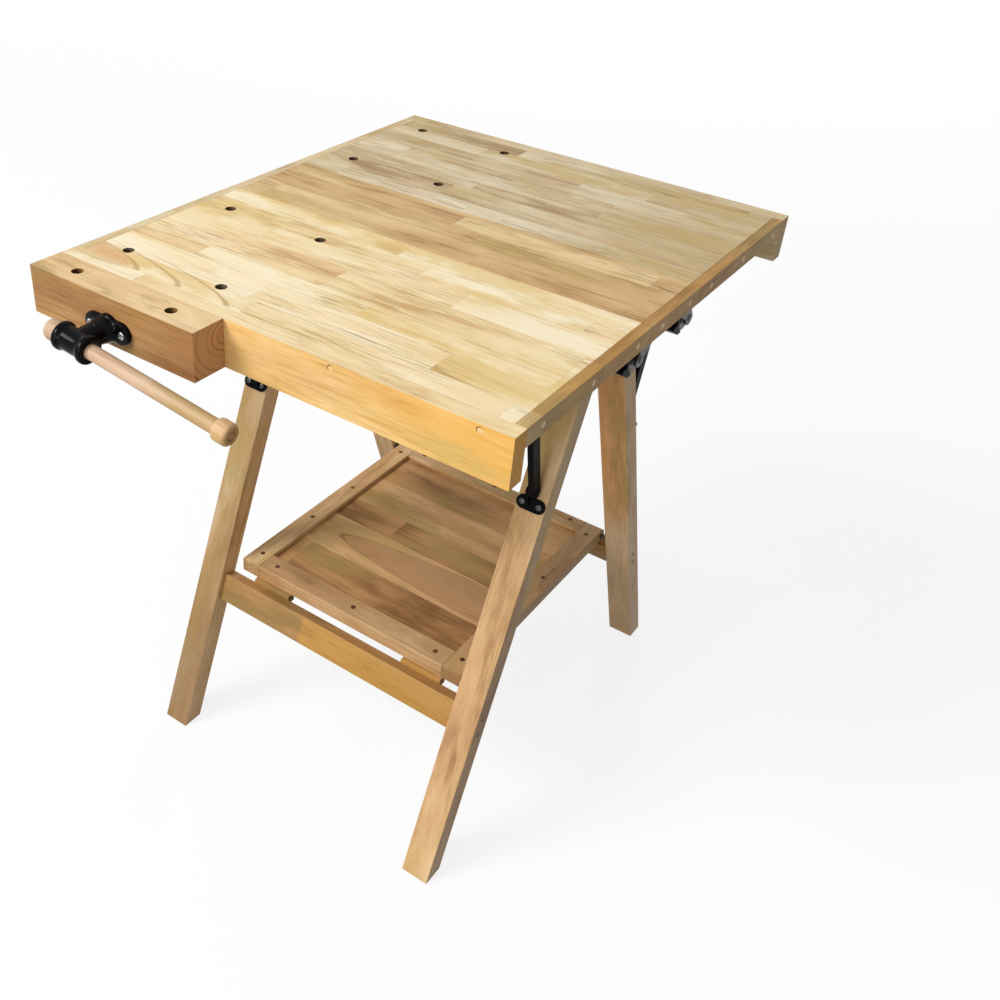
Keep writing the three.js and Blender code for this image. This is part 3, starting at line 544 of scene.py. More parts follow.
# Painted light: the right rail's front end, out from under the top, is painted lighter.
SIDE_RAIL_LIT_RUNS = {"right": (-90 * MM, -170 * MM, shade(196, 158, 110))}
SOLID_STAVE = (0.30, 40.0)
SHELF_STAVE = (0.075, 0.5)
FRAME_LOOK = {"streaks": 0.4, "lines": 0.5}
STRETCHER_LOOK = {
    **FRAME_LOOK,
    # Painted light: the stretchers' tops are painted paler than their fronts.
    "second": (UPWARDS, paler(STRETCHER_TONES, 1.5)),
    "tone_run": (-62 * MM, -58 * MM, shade(196, 146, 60)),
}
SHELF_TONGUES = (3 * MM, 150.0, -1, (-125 * MM,))
SHELF_LOOK = {
    "uneven": 0.16, "staves": 0.9, "streaks": 0.3, "lines": 0.5, "clouds": 1.6, "tongue": SHELF_TONGUES,
}


def solid_board(name, along, across, tones, seed, **look):
    """A single piece of wood: one stave holds the whole of its node."""
    board(name, wood(name, middle(name), along, across, tones, SOLID_STAVE, seed, **look))


def down_leg(side):
    return Vector((0, SIDES[side] * math.sin(LEG_SPLAY), -math.cos(LEG_SPLAY)))


for number, side in enumerate(SIDES):
    for place, end in enumerate(ENDS):
        where = f"{side}_{end}"
        tones = paler(FRAME_TONES, LEG_PALENESS[where])
        side_lit_tones = paler(FRAME_TONES, LEG_SIDE_PAINTED_LIGHT[where])
        look = {**FRAME_LOOK, "second": (ACROSS_X, side_lit_tones), "tone_run": LEG_TONE_AND_LIGHT_RUNS.get(where)}
        solid_board(f"leg_{where}", down_leg(side), ACROSS_X, tones, 1.7 + 2 * number + place, **look)
    solid_board(f"stretcher_{side}", ACROSS_X, UPWARDS, STRETCHER_TONES, 6.2 + number, **STRETCHER_LOOK)
    tones = paler(RAIL_TONES, RAIL_TONE_AND_SHADE[side])
    solid_board(f"shelf_rail_{side}", ACROSS_X, ACROSS_Y, tones, 13.1 + number, **FRAME_LOOK)
for number, end in enumerate(ENDS):
    solid_board(f"pivot_cleat_{end}", ACROSS_Y, UPWARDS, FRAME_TONES, 9.4 + number, **FRAME_LOOK)
    tones = paler(RAIL_TONES, RAIL_TONE_AND_SHADE[end])
    look = {**FRAME_LOOK, "tone_run": SIDE_RAIL_LIT_RUNS.get(end)}
    solid_board(f"shelf_rail_{end}", ACROSS_Y, ACROSS_X, tones, 11.4 + number, **look)
name = "shelf_panel"
grain = wood(name, middle(name), ACROSS_X, ACROSS_Y, SHELF_TONES, SHELF_STAVE, 11.3, **SHELF_LOOK)
board(name, grain, GLUED_EASE)
print("legs", len(LEG_PALENESS), "rails", len(RAIL_TONE_AND_SHADE))

# %% [markdown]
# ## The jaw
# The vise's wooden jaw is one thick block. Its top is painted cream as painted light, where the
# lacquer catches the light, over a richer brown in front, and the front darkens towards its right
# end. Its grain runs along it, so its right end shows end grain, painted paler than the faces as
# painted light on that end.

# %% Paint the jaw
JAW_TONES = (shade(112, 74, 38), shade(157, 112, 65), shade(184, 142, 90))
# Painted light: the top's cream tones and the end's pale tone stand in for light on those faces.
JAW_TOP_LIT_TONES = (shade(182, 132, 80), shade(224, 188, 136), shade(238, 212, 166))
JAW_LOOK = {
    "streaks": 0.6, "clouds": 1.3, "end_tone": shade(238, 182, 124), "second": (UPWARDS, JAW_TOP_LIT_TONES),
    # The jaw's dog holes get the same painted shade on their walls.
    "tone_run": (10 * MM, 130 * MM, shade(138, 88, 44)), "holes": holes_at(middle("vise_jaw").y, 0),
}
solid_board("vise_jaw", ACROSS_X, UPWARDS, JAW_TONES, 8.8, **JAW_LOOK)
print("jaw", tuple(round(side / MM, 1) for side in NODES["vise_jaw"].dimensions), "mm")

# %% [markdown]
# ## Metal finishes
# Four finishes cover the metal: thick gloss black enamel on the cast vise, thin satin black on
# the pressed stays, zinc on the rods and screws, and duller zinc on the pressed hinges. Each gets a
# little unevenness in roughness and a fine relief, because a perfectly even metal looks like
# plastic. The blacks shine little, so that they stay black before a white wall.

# %% Mix the metals
ENAMEL_SHINE = 0.07
SATIN_SHINE = 0.03


def metal(name, colour, metallic, rough, grain, relief_strength, worn_colour=None, shine=0.5):
    """A metal finish: grain is the size of its unevenness in metres."""
    material, shader, start = new_material(name)
    place = start.node("ShaderNodeTexCoord", output="Object")

    def sized(scale):
        return place.node("ShaderNodeVectorMath", {"operation": "SCALE"}, {0: place, "Scale": scale})

    fine = noise(sized(1 / grain), 3.0, 0.6)
    broad = noise(sized(0.12 / grain))
    worn = worn_colour or scaled(colour, 1.5)
    feed(shader, "Base Color", mix(broad.step(0.45, 0.75) * 0.6, colour, worn))
    feed(shader, "Roughness", rough + 0.12 * (fine - 0.5) + 0.16 * (broad - 0.5))
    feed(shader, "Normal", relief(fine, relief_strength, 0.3 * MM))
    shader.inputs["Metallic"].default_value = metallic
    shader.inputs["Specular IOR Level"].default_value = shine
    return material


ENAMEL = metal("black_enamel", (0.003, 0.003, 0.004, 1), 0, 0.10, 2.4 * MM, 0.36, shine=ENAMEL_SHINE)
SATIN_BLACK = metal("satin_black", (0.002, 0.002, 0.003, 1), 0, 0.36, 0.8 * MM, 0.12, shine=SATIN_SHINE)
ZINC = metal("zinc", (0.40, 0.40, 0.39, 1), 1, 0.34, 1.0 * MM, 0.10, (0.28, 0.28, 0.28, 1))
WORN_ZINC = (0.045, 0.042, 0.039, 1)
DULL_ZINC = metal("dull_zinc", (0.085, 0.080, 0.074, 1), 1, 0.40, 1.0 * MM, 0.14, WORN_ZINC)
print("metals", [finish.name for finish in (ENAMEL, SATIN_BLACK, ZINC, DULL_ZINC)])

# %% [markdown]
# ## Tools for turned and cut pieces
# Rods, knobs, screws and the cast hub were turned on a lathe or cast from a turned pattern, so a
# profile swept round an axis is the natural way to make them. Bars and plates were cut from flat
# stock, so they are outlines given a thickness. Both are worked out in millimetres in a piece's
# own axes, then seated on the bench.

# %% Mesh tools
import bmesh


def turned(profile, steps=48):
    """A profile of (radius, height) points turned about +Z. It may be a function of the angle."""
    rings = []
    for step in range(steps):
        angle = 2 * math.pi * step / steps
        points = profile(angle) if callable(profile) else profile
        right = math.cos(angle)
        up = math.sin(angle)
        rings.append([(radius * right, radius * up, height) for radius, height in points])
    count = len(rings[0])
    faces = []
    for step in range(steps):
        here = step * count
        there = (step + 1) % steps * count
        for row in range(count - 1):
            faces.append((here + row, there + row, there + row + 1, here + row + 1))
    return [corner for ring in rings for corner in ring], faces


def cut_flat(outline, low, high):
    """A closed outline of (x, y) points given a thickness along Z."""
    count = len(outline)
    corners = [(x, y, low) for x, y in outline] + [(x, y, high) for x, y in outline]
    walls = [(i, (i + 1) % count, count + (i + 1) % count, count + i) for i in range(count)]
    caps = [tuple(reversed(range(count))), tuple(range(count, 2 * count))]
    return corners, walls + caps


def arc(centre, radius, first, last, steps):
    """Points round a centre from one angle to another."""
    turns = [first + (last - first) * step / steps for step in range(steps + 1)]
    return [(centre[0] + radius * math.cos(turn), centre[1] + radius * math.sin(turn)) for turn in turns]


def round_bar(start, finish, radius, steps=16):
    """The outline of a flat bar with round ends about two (x, y) points."""
    heading = math.atan2(finish[1] - start[1], finish[0] - start[0])
    quarter = math.pi / 2
    far_end = arc(finish, radius, heading - quarter, heading + quarter, steps)
    return far_end + arc(start, radius, heading + quarter, heading + 3 * quarter, steps)


def seat(origin, up, right):
    """Axes for a piece: origin in metres, its +Z and +X ways, with its own units in millimetres."""
    up = Vector(up).normalized()
    right = Vector(right).normalized()
    turn = Matrix((right, up.cross(right), up)).transposed().to_4x4()
    return Matrix.Translation(origin) @ turn @ Matrix.Scale(MM, 4)


def piece(name, shapes, body, material, rounding=0.0, replaced=None):
    """One object made of (seat, (vertices, faces)) shapes, riding on a body."""
    mesh = bmesh.new()
    for axes, (corners, faces) in shapes:
        made = [mesh.verts.new(axes @ Vector(corner)) for corner in corners]
        for face in faces:
            mesh.faces.new([made[index] for index in face])
    bmesh.ops.remove_doubles(mesh, verts=mesh.verts, dist=WELD_REACH)
    bmesh.ops.recalc_face_normals(mesh, faces=mesh.faces)
    data = bpy.data.meshes.new(name)
    mesh.to_mesh(data)
    mesh.free()
    data.shade_smooth()
    data.set_sharp_from_angle(angle=SHARP_ANGLE)
    data.materials.append(material)
    thing = add_object(name, data)
    if rounding:
        round_edges(thing, rounding)
    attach(thing, body)
    if replaced:
        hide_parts(replaced)
    return thing


print("mesh tools ready")

# %% [markdown]
# ## Rods
# The pivot rods and the vise's guide rods are drawn steel with a small chamfer at each end. Each
# replaces its faceted node, at the same place and size.

# %% Make the rods
CHAMFER = 0.8


def rod(name, body, axis, material=ZINC):
    """A smooth rod in the place of a node that lies along one of the bench's axes."""
    low, high = corners_of(name)
    length = (high - low).dot(axis) / MM
    radius = (high - low).z / 2 / MM
    start = middle(name) - axis * length / 2 * MM
    profile = [
        (0, 0), (radius - CHAMFER, 0), (radius, CHAMFER),
        (radius, length - CHAMFER), (radius - CHAMFER, length), (0, length),
    ]
    shapes = [(seat(start, axis, UPWARDS), turned(profile, 32))]
    piece(f"{name}_turned", shapes, body, material, replaced=name)


for side in SIDES:
    rod(f"leg_pivot_rod_{side}", f"{side}_frame", ACROSS_X)
rod("shelf_pivot_rod", "rear_frame", ACROSS_X, DULL_ZINC)
for end in ENDS:
    rod(f"vise_guide_rod_{end}", "jaw", ACROSS_Y)
print("rods", len(SIDES) + 1 + len(ENDS))

# %% [markdown]
# ## The vise
# A cast flange is screwed to the jaw and carries a neck for the screw. In front of it a cast hub
# with flared lips holds a sliding beech handle. The flange is a turned form whose rim follows an
# oblong instead of a circle, so its profile is worked out for each angle and the neck flares into
# the plate without a seam.

# %% The flange
OUTWARDS = Vector((0, -1, 0))
SCREW_BORE = 10.4
FLANGE_REACH = 39
FLANGE_HALF = 15
FLANGE_RIM = 4.6
NECK_FOOT = 19.2
NECK_TIP = 27.0
NECK_RADIUS = 15.3
FLARE_END = 17.2
# The flare from the plate into the neck: the share of the way out to the shoulder, and the height.
FLARE = ((1.0, 6.8), (0.72, 7.3), (0.48, 8.0), (0.28, 9.2), (0.13, 11.0), (0.04, 13.2))
NECK = [
    (16.4, 16.5), (15.7, 21.0), (NECK_RADIUS, NECK_TIP - 0.3), (NECK_RADIUS - 0.3, NECK_TIP),
    (SCREW_BORE, NECK_TIP), (SCREW_BORE, 0),
]
flange_low, flange_high = corners_of("vise_flange")


def joint_place(name):
    return Vector(JOINTS[name]["pos_m"])


spin = joint_place("vise_screw_spin")


def on_screw_axis(y):
    return Vector((spin.x, y, spin.z))


def flange_rim(angle):
    """The distance from the screw to the oblong plate's rim, or to the neck where that is wider."""
    along = abs(math.cos(angle))
    up = abs(math.sin(angle))
    straight = FLANGE_REACH - FLANGE_HALF
    if FLANGE_HALF * along <= straight * up:
        rim = FLANGE_HALF / up
    else:
        rim = straight * along + math.sqrt(FLANGE_HALF ** 2 - (straight * up) ** 2)
    return max(rim, NECK_FOOT)


def flange_profile(angle):
    rim = flange_rim(angle)
    spread = rim - 1.8 - FLARE_END
    edge = [(rim - 0.6, 0), (rim, 0.6), (rim, FLANGE_RIM), (rim - 0.5, FLANGE_RIM + 1.2)]
    flare = [(FLARE_END + spread * share, height) for share, height in FLARE]
    return [(SCREW_BORE, 0)] + edge + flare + NECK


flange_foot = on_screw_axis(flange_high.y)
flange_shapes = [(seat(flange_foot, OUTWARDS, ACROSS_X), turned(flange_profile, 72))]
flange = piece("vise_flange_cast", flange_shapes, "jaw", ENAMEL, replaced="vise_flange")
print("flange", tuple(round(side / MM, 1) for side in flange.dimensions))

# %% [markdown]
# The screw has a coarse square thread of 8 mm, so nine turns of the handle open the jaw by 72 mm.
# The thread is a turned form too: its radius goes up and down as the profile climbs with the
# angle. The hub is turned about the handle, hollow for it, and the shoulder that joins the two
# ends in a saddle inside the hub's wall.

# %% The screw and its hub
THREAD_PITCH = 8.0
THREAD_ROOT = 8.5
THREAD_CREST = 10.0
THREAD_STEPS = 8
HANDLE_BORE = 10.4
HUB_HALF = 25.0
HUB_UPPER = [
    (HANDLE_BORE, HUB_HALF), (17.0, HUB_HALF), (18.4, 24.4), (19.0, 23.0), (19.0, 19.6), (18.6, 17.8),
    (17.6, 16.4), (16.6, 14.8), (16.1, 12.6), (16.0, 9.0),
]
SADDLE = 13.8
handle_way = -Vector(JOINTS["handle_slide"]["axis"]).normalized()
screw_end = corners_of("vise_screw")[1].y
shaft_length = (screw_end - spin.y) / MM - HANDLE_BORE - 4
thread_length = (screw_end - flange_high.y) / MM


def thread_radius(height, angle):
    part = (height / THREAD_PITCH - angle / (2 * math.pi)) % 1
    flank = min(part, 1 - part) * 2
    rise = min(max((flank - 0.35) / 0.3, 0), 1)
    return THREAD_ROOT + (THREAD_CREST - THREAD_ROOT) * rise


def shaft_profile(angle):
    count = int(thread_length / THREAD_PITCH * THREAD_STEPS)
    heights = [thread_length * step / count for step in range(count + 1)]
    thread = [(thread_radius(height, angle), height) for height in heights]
    plain = [(THREAD_CREST, thread_length + 1), (THREAD_CREST, shaft_length), (0, shaft_length)]
    return [(0, 0)] + thread + plain


def shoulder_profile(angle):
    """From the neck to a saddle that follows the hub's inside, so that the handle's bore stays open."""
    reach = (flange_low.y - spin.y) / MM
    points = [(0, 0.4), (NECK_RADIUS - 0.3, 0.4), (NECK_RADIUS, 0.7)]
    for radius in (NECK_RADIUS, 12.0, 8.0, 4.0, 0.0):
        aside = min(abs(radius * math.sin(angle)), SADDLE)
        points.append((radius, reach - math.sqrt(SADDLE ** 2 - aside ** 2)))
    return points


hub_lower = [(radius, -height) for radius, height in reversed(HUB_UPPER)]
hub_profile = HUB_UPPER + hub_lower + HUB_UPPER[:1]
handle_seat = seat(spin, handle_way, OUTWARDS)
screw = piece("vise_screw_cast", [
    (seat(on_screw_axis(screw_end), OUTWARDS, ACROSS_X), turned(shaft_profile, 32)),
    (seat(on_screw_axis(flange_low.y), OUTWARDS, handle_way), turned(shoulder_profile, 48)),
    (handle_seat, turned(hub_profile, 64)),
], "screw", ENAMEL, replaced="vise_screw")
board("vise_nut", ZINC, 0.5 * MM)
print("screw", tuple(round(side / MM, 1) for side in screw.dimensions), "mm")

# %% [markdown]
# The handle is a pinkish beech bar with a small knob at one end and a thicker turned cap glued on
# the other. The cap's end shows end grain with a groove round a small plug, so its profile goes
# down and up again near the middle. Beech grain is close and even, so the recipe's figure is turned
# down.

# %% The handle
HANDLE_TONES = (shade(146, 104, 74), shade(190, 156, 128), shade(206, 176, 148))
CAP_TONES = (shade(158, 112, 70), shade(198, 158, 114), shade(216, 184, 142))
BEECH_LOOK = {"rings": 0.25, "lines": 0.6, "sheen": 0.56}
BAR_RADIUS = 10.0
KNOB_RADIUS = 14.6
KNOB_END = -48.3
KNOB_FOOT = -25.4
CAP_RADIUS = 14.6
CAP_FOOT = 233.5
CAP_END = 256.0
SOCKET_END = 246.5
SOCKET_GAP = 0.3
bar_profile = [
    (0, KNOB_END), (5.2, KNOB_END + 0.2), (9.8, KNOB_END + 1.4), (12.9, KNOB_END + 4.0),
    (KNOB_RADIUS - 0.2, KNOB_END + 8.0), (KNOB_RADIUS, KNOB_END + 11.0), (KNOB_RADIUS, KNOB_FOOT - 2.2),
    (KNOB_RADIUS - 0.6, KNOB_FOOT - 0.6), (KNOB_RADIUS - 1.8, KNOB_FOOT), (BAR_RADIUS, KNOB_FOOT),
    (BAR_RADIUS, SOCKET_END), (0, SOCKET_END),
]
socket_radius = BAR_RADIUS + SOCKET_GAP
cap_profile = [
    (0, SOCKET_END + SOCKET_GAP), (socket_radius, SOCKET_END + SOCKET_GAP), (socket_radius, CAP_FOOT),
    (CAP_RADIUS - 2.2, CAP_FOOT), (CAP_RADIUS - 0.7, CAP_FOOT + 1.2), (CAP_RADIUS, CAP_FOOT + 3.4),
    (CAP_RADIUS, CAP_END - 5.4), (CAP_RADIUS - 0.6, CAP_END - 3.2), (CAP_RADIUS - 2.6, CAP_END - 1.3),
    (9.6, CAP_END - 0.4), (7.2, CAP_END), (6.8, CAP_END - 2.8), (4.8, CAP_END - 2.8),
    (4.4, CAP_END - 0.9), (1.6, CAP_END - 0.6), (0, CAP_END - 0.6),
]
handle_pieces = {
    "bar": (bar_profile, "handle_beech", HANDLE_TONES, 2.9),
    "cap": (cap_profile, "cap_beech", CAP_TONES, 6.6),
}
for part, (profile, finish, tones, seed) in handle_pieces.items():
    name = f"vise_handle_{part}"
    across = OUTWARDS.cross(handle_way)
    grain = wood(finish, spin, handle_way, across, tones, SOLID_STAVE, seed, **BEECH_LOOK)
    shapes = [(handle_seat, turned(profile))]
    thing = piece(f"{name}_turned", shapes, "handle", grain, replaced=name)
    print(name, round(thing.dimensions.x / MM, 1), "mm along the bench")

# %% [markdown]
# ## Screws and rivets
# Zinc screws with a cross recess hold the flange, the stays and the hinges. A screw head this
# small could be a plain dome, but the recess is what makes it read as a screw, so the dome's
# points that fall inside a cross are pushed down.

# %% Screw heads and rivet heads
HEAD_RINGS = 10
HEAD_SKIRT = 0.6
HEAD_FLATNESS = 0.85
CROSS_HALF = 0.15
CROSS_REACH = 0.68
RECESS = 0.45
RIVET_SINK = 1.6
FLANGE_SCREW_OFFSET = 28
FLANGE_SCREW_RISE = 7.0


def screw_head(radius, rise):
    """A pan head with a cross recess, standing on its own Z = 0."""
    def profile(angle):
        points = []
        for ring in range(HEAD_RINGS + 1):
            out = ring / HEAD_RINGS
            height = rise * math.sqrt(1 - HEAD_FLATNESS * out ** 2)
            off_arm = out * min(abs(math.cos(angle)), abs(math.sin(angle)))
            in_cross = off_arm < CROSS_HALF and out < CROSS_REACH
            points.append((radius * out, height * RECESS if in_cross else height))
        return points + [(radius, -HEAD_SKIRT), (0, -HEAD_SKIRT)]
    return turned(profile)


def rivet_head(radius, rise):
    dome = [(0, rise), (radius * 0.5, rise * 0.9), (radius * 0.85, rise * 0.5), (radius, 0)]
    return turned(dome + [(radius, -RIVET_SINK), (0, -RIVET_SINK)], 32)


flange_screws = []
for offset in (-FLANGE_SCREW_OFFSET, FLANGE_SCREW_OFFSET):
    place = flange_foot + ACROSS_X * offset * MM + OUTWARDS * FLANGE_SCREW_RISE * MM
    flange_screws.append((seat(place, OUTWARDS, Vector((1, 0, 0.5))), screw_head(5.2, 2.4)))
piece("vise_flange_screws", flange_screws, "jaw", ZINC)
print("flange screws", len(flange_screws))

# %% [markdown]
# ## The folding stays
# Each stay is two flat black links that meet at an elbow, between a plate on the leg and a plate
# under the leaf. The links overlap side by side, and each carries its own half of the elbow's
# rivet. All of it was cut from flat stock, so each piece is an outline with a thickness and a
# small rounding, in the place of its faceted node.

# %% The stays
STAY_LEAN = math.radians(14)
LEG_LINK = 160.0
LEG_LINK_RADIUS = 9.0
LEAF_LINK_RADIUS = 7.0
STAY_STANDOFF = 9.5
PLATE_LENGTH = 44.0
PLATE_WIDTH = 20.0
PLATE_FOOT = 0.3
PLATE_TOP = 3.3
PLATE_SHIFT = 20.0
PLATE_EASE = 0.3 * MM
LUG_RADIUS = 8.0
LUG_END = 26.67
LUG_FOOT = 1.3
PLATE_SCREW_OFFSET = 13.0
PIN_RADIUS = 3.5
PIN_END = 8.8
PIN_HEAD = ((5.4, -1.4), (4.4, -0.3), (0, 0))
BAR_EASE = 0.6 * MM
STAY_SLAB = (2.3, 7.3)


def edgewise(outline, origin, right, up, span):
    """An outline in a plane across the bench, given a thickness between two X places in millimetres."""
    out = right.cross(up)
    depths = sorted(out.x * x for x in span)
    return seat(Vector((0, origin.y, origin.z)), out, right), cut_flat(outline, *depths)


def stay_link(name, body, start, finish, radius, rivet_way):
    """A flat bar between two places, with half of the elbow's rivet on the face towards rivet_way."""
    low, high = corners_of(name)
    outline = round_bar(*[(place.y / MM, place.z / MM) for place in (start, finish)], radius)
    bar = edgewise(outline, Vector(), ACROSS_Y, UPWARDS, (low.x / MM, high.x / MM))
    face = high.x if rivet_way.x > 0 else low.x
    rivet = seat(Vector((face, finish.y, finish.z)), rivet_way, UPWARDS), rivet_head(5.0, 1.6)
    piece(f"{name}_bar", [bar, rivet], body, SATIN_BLACK, BAR_EASE, replaced=name)


def stay_plate(name, body, knuckle, normal, towards, pin_way):
    """A screwed plate with an ear, and the pin through the ear, whose head looks along pin_way."""
    foot = knuckle - normal * STAY_STANDOFF * MM
    half = (PLATE_LENGTH - PLATE_WIDTH) / 2
    outline = round_bar((-half, PLATE_SHIFT), (half, PLATE_SHIFT), PLATE_WIDTH / 2)
    plate = seat(foot, normal, towards.cross(normal)), cut_flat(outline, PLATE_FOOT, PLATE_TOP)
    ear = arc((0, STAY_STANDOFF), LUG_RADIUS, math.pi / 2, 3 * math.pi / 2, 20)
    span = [knuckle.x / MM - pin_way.x * offset for offset in STAY_SLAB]
    lug = edgewise(ear + [(LUG_END, LUG_FOOT), (LUG_END, PLATE_TOP)], foot, towards, normal, span)
    length = STAY_SLAB[1] + PIN_END
    head = [(radius, length + drop) for radius, drop in PIN_HEAD]
    shank = [(0, 0), (PIN_RADIUS, 0), (PIN_RADIUS, head[0][1])]
    pin = seat(knuckle - pin_way * STAY_SLAB[1] * MM, pin_way, UPWARDS), turned(shank + head, 32)
    shapes = [plate, lug, pin]
    piece(f"{name}_cut", shapes, body, SATIN_BLACK, PLATE_EASE, replaced=name)
    screws = []
    for offset in (-PLATE_SCREW_OFFSET, PLATE_SCREW_OFFSET):
        place = foot + towards * PLATE_SHIFT * MM + normal * PLATE_TOP * MM + ACROSS_X * offset * MM
        screws.append((seat(place, normal, Vector((1, 0.2, 0.3)).cross(normal)), screw_head(4.4, 2.0)))
    piece(f"{name}_screws", screws, body, DULL_ZINC)


for side, outwards in SIDES.items():
    outer_face = Vector((0, outwards * math.cos(LEG_SPLAY), math.sin(LEG_SPLAY)))
    leaf_way = Vector((0, outwards, 0))
    lean = Vector((0, outwards * math.sin(STAY_LEAN), math.cos(STAY_LEAN)))
    for end, sign in ENDS.items():
        where = f"{side}_{end}"
        aside = ACROSS_X * sign
        on_leg = joint_place(f"leg_link_{where}_turn")
        on_leaf = joint_place(f"leaf_link_{where}_turn")
        elbow = on_leg + lean * LEG_LINK * MM
        leg, leaf = f"{side}_frame", f"{side}_leaf"
        stay_plate(f"stay_leg_plate_{where}", leg, on_leg, outer_face, down_leg(side), aside)
        stay_plate(f"stay_leaf_plate_{where}", leaf, on_leaf, -UPWARDS, leaf_way, -aside)
        links = (("leg", on_leg, LEG_LINK_RADIUS, aside), ("leaf", on_leaf, LEAF_LINK_RADIUS, -aside))
        for link, start, radius, way in links:
            stay_link(f"stay_{link}_link_{where}", f"{link}_link_{where}", start, elbow, radius, way)
print("stays", len(SIDES) * len(ENDS))

# %% [markdown]
# ## The leaf hinges
# Under each corner of the spine a zinc bracket carries a pin, and a toothed disc on the leaf's
# wing locks the leaf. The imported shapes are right, so they only need eased edges and zinc. The
# pin's rolled ends, the plates' screws and the black release levers are added. A lever is a pressed
# strip that hugs the disc and ends in a thumb tab, so it is cut from an outline too. It sits in
# front of its pin, so the front ones are on the leaf's wing and the rear ones on the bracket.

# %% The hinges
HINGE_SCREW_REACH = 38.0
HINGE_SCREW_OFFSET = 9.0
HINGE_PLATE = 2.5
LEVER_WIDTH = 21.4
LEVER_TOP = 20.9
LEVER_REACH = 38.0
LEVER_TAB = [
    (13.6, -19.5), (21.0, -19.5), (LEVER_REACH, -8), (LEVER_REACH, -3), (28, -3), (28, LEVER_TOP),
]
LEVER_EASE = 0.8 * MM
DISC_CLEAR = 20.5
DISC_ARC = (math.radians(-14), math.radians(-62))
hinge_low, hinge_high = corners_of("hinge_bracket_front_right")
hinge_half = (hinge_high.x - hinge_low.x) / 2
plate_face = corners_of("hinge_wing_front_right")[1].z - HINGE_PLATE * MM
# A release lever as (forwards, upwards) points from the hinge's pin.
lever_outline = [(22, LEVER_TOP)] + arc((0, 0), DISC_CLEAR, *DISC_ARC, 10) + LEVER_TAB

hinge_screws = {"spine": [], "front_leaf": [], "rear_leaf": []}
pin_heads = []
for side, outwards in SIDES.items():
    levers = []
    for end in ENDS:
        for part in ("bracket", "wing"):
            board(f"hinge_{part}_{side}_{end}", DULL_ZINC, GLUED_EASE, 2)
        pin = joint_place(f"{side}_leaf_fold")
        pin.x = middle(f"hinge_bracket_{side}_{end}").x
        for way in (ACROSS_X, -ACROSS_X):
            pin_heads.append((seat(pin + way * hinge_half, way, UPWARDS), rivet_head(6.0, 2.0)))
        for body, reach in (("spine", -HINGE_SCREW_REACH), (f"{side}_leaf", HINGE_SCREW_REACH)):
            for offset in (-HINGE_SCREW_OFFSET, HINGE_SCREW_OFFSET):
                place = Vector((pin.x + offset * MM, pin.y + outwards * reach * MM, plate_face))
                axes = seat(place, -UPWARDS, Vector((1, 0.4, 0)))
                hinge_screws[body].append((axes, screw_head(3.6, 1.6)))
        span = (pin.x / MM - LEVER_WIDTH / 2, pin.x / MM + LEVER_WIDTH / 2)
        levers.append(edgewise(lever_outline, pin, OUTWARDS, UPWARDS, span))
    carrier = "front_leaf" if side == "front" else "spine"
    piece(f"hinge_levers_{side}", levers, carrier, SATIN_BLACK, LEVER_EASE)
piece("hinge_pin_heads", pin_heads, "spine", DULL_ZINC)
for body, shapes in hinge_screws.items():
    piece(f"hinge_screws_{body}", shapes, body, DULL_ZINC)
print("hinge pin heads", len(pin_heads))

# %% [markdown]
# ## Wooden plugs
# Where a batten, apron or rail is screwed on, the screw is sunk and its hole closed with a small
# round plug. The plugs sit a hair proud and their grain never matches: pale dots on the battens,
# amber ones on the aprons and dark ones on the shelf and the legs. Each apron plug also gets a
# painted shadow: a thinner dark disc, a little off centre behind the plug, that shows as a dark
# crescent on one side. Each is a turned disc, and all the plugs on one body are one piece.

# %% The plugs
PALE_PLUG_TONES = (shade(190, 140, 74), shade(232, 196, 136), shade(244, 222, 178))
DARK_PLUG_TONES = (shade(58, 34, 16), shade(92, 58, 30), shade(128, 86, 48))
PLUG_GRAIN = Vector((0.6, 0.8, 0))
PLUG_STAVE = (0.05, 0.03)
PLUG_RADIUS = 4.4
# The painted shadow behind each apron plug: a dark disc, a little larger and shifted to one side.
SHADOW_DISC_RADIUS = PLUG_RADIUS + 0.2
PLUG = [
    (0, 0.30), (PLUG_RADIUS * 0.6, 0.26), (PLUG_RADIUS - 0.4, 0.16), (PLUG_RADIUS, -0.2),
    (PLUG_RADIUS, -1.5), (0, -1.5),
]
PLUG_SHADOW_DISC = [(0, 0.10), (SHADOW_DISC_RADIUS - 0.1, 0.10), (SHADOW_DISC_RADIUS, -0.1), (SHADOW_DISC_RADIUS, -1.0), (0, -1.0)]
SHADOW_DISC_SHIFT = Vector((-0.7 * MM, 0, 0.6 * MM))
LEAF_PLUGS = (0.12, 0.50, 0.88)
BATTEN_PLUGS = {"front_leaf": LEAF_PLUGS, "spine": (0.22, 0.78), "rear_leaf": LEAF_PLUGS}
APRON_PLUG_DROP = 8.0
APRON_PLUGS = {"front": (105.5, 305.5), "rear": (-305.5, -105.5, 105.5, 305.5)}
RAIL_PLUGS = (-156.0, 0.0, 156.0)
SIDE_RAIL_PLUGS = (-127.5, 1.5, 115.0, 263.5)
LEG_PLUGS = (595.4, 619.4)
plug_tones = {
    "pale": (PALE_PLUG_TONES, 3.3), "amber": (APRON_TONES, 5.3), "dark": (DARK_PLUG_TONES, 4.3),
}
plug_woods = {
    kind: wood(f"{kind}_plug", Vector(), PLUG_GRAIN, UPWARDS, tones, PLUG_STAVE, seed)
    for kind, (tones, seed) in plug_tones.items()
}


def plugs(name, body, places, kind, profile=PLUG):
    """One piece of plugs, from the place and the way that each one faces."""
    aslant = Vector((0.3, 0.5, 0.8))
    shapes = [(seat(place, way, aslant.cross(way)), turned(profile, 24)) for place, way in places]
    piece(name, shapes, body, plug_woods[kind])
    return len(shapes)


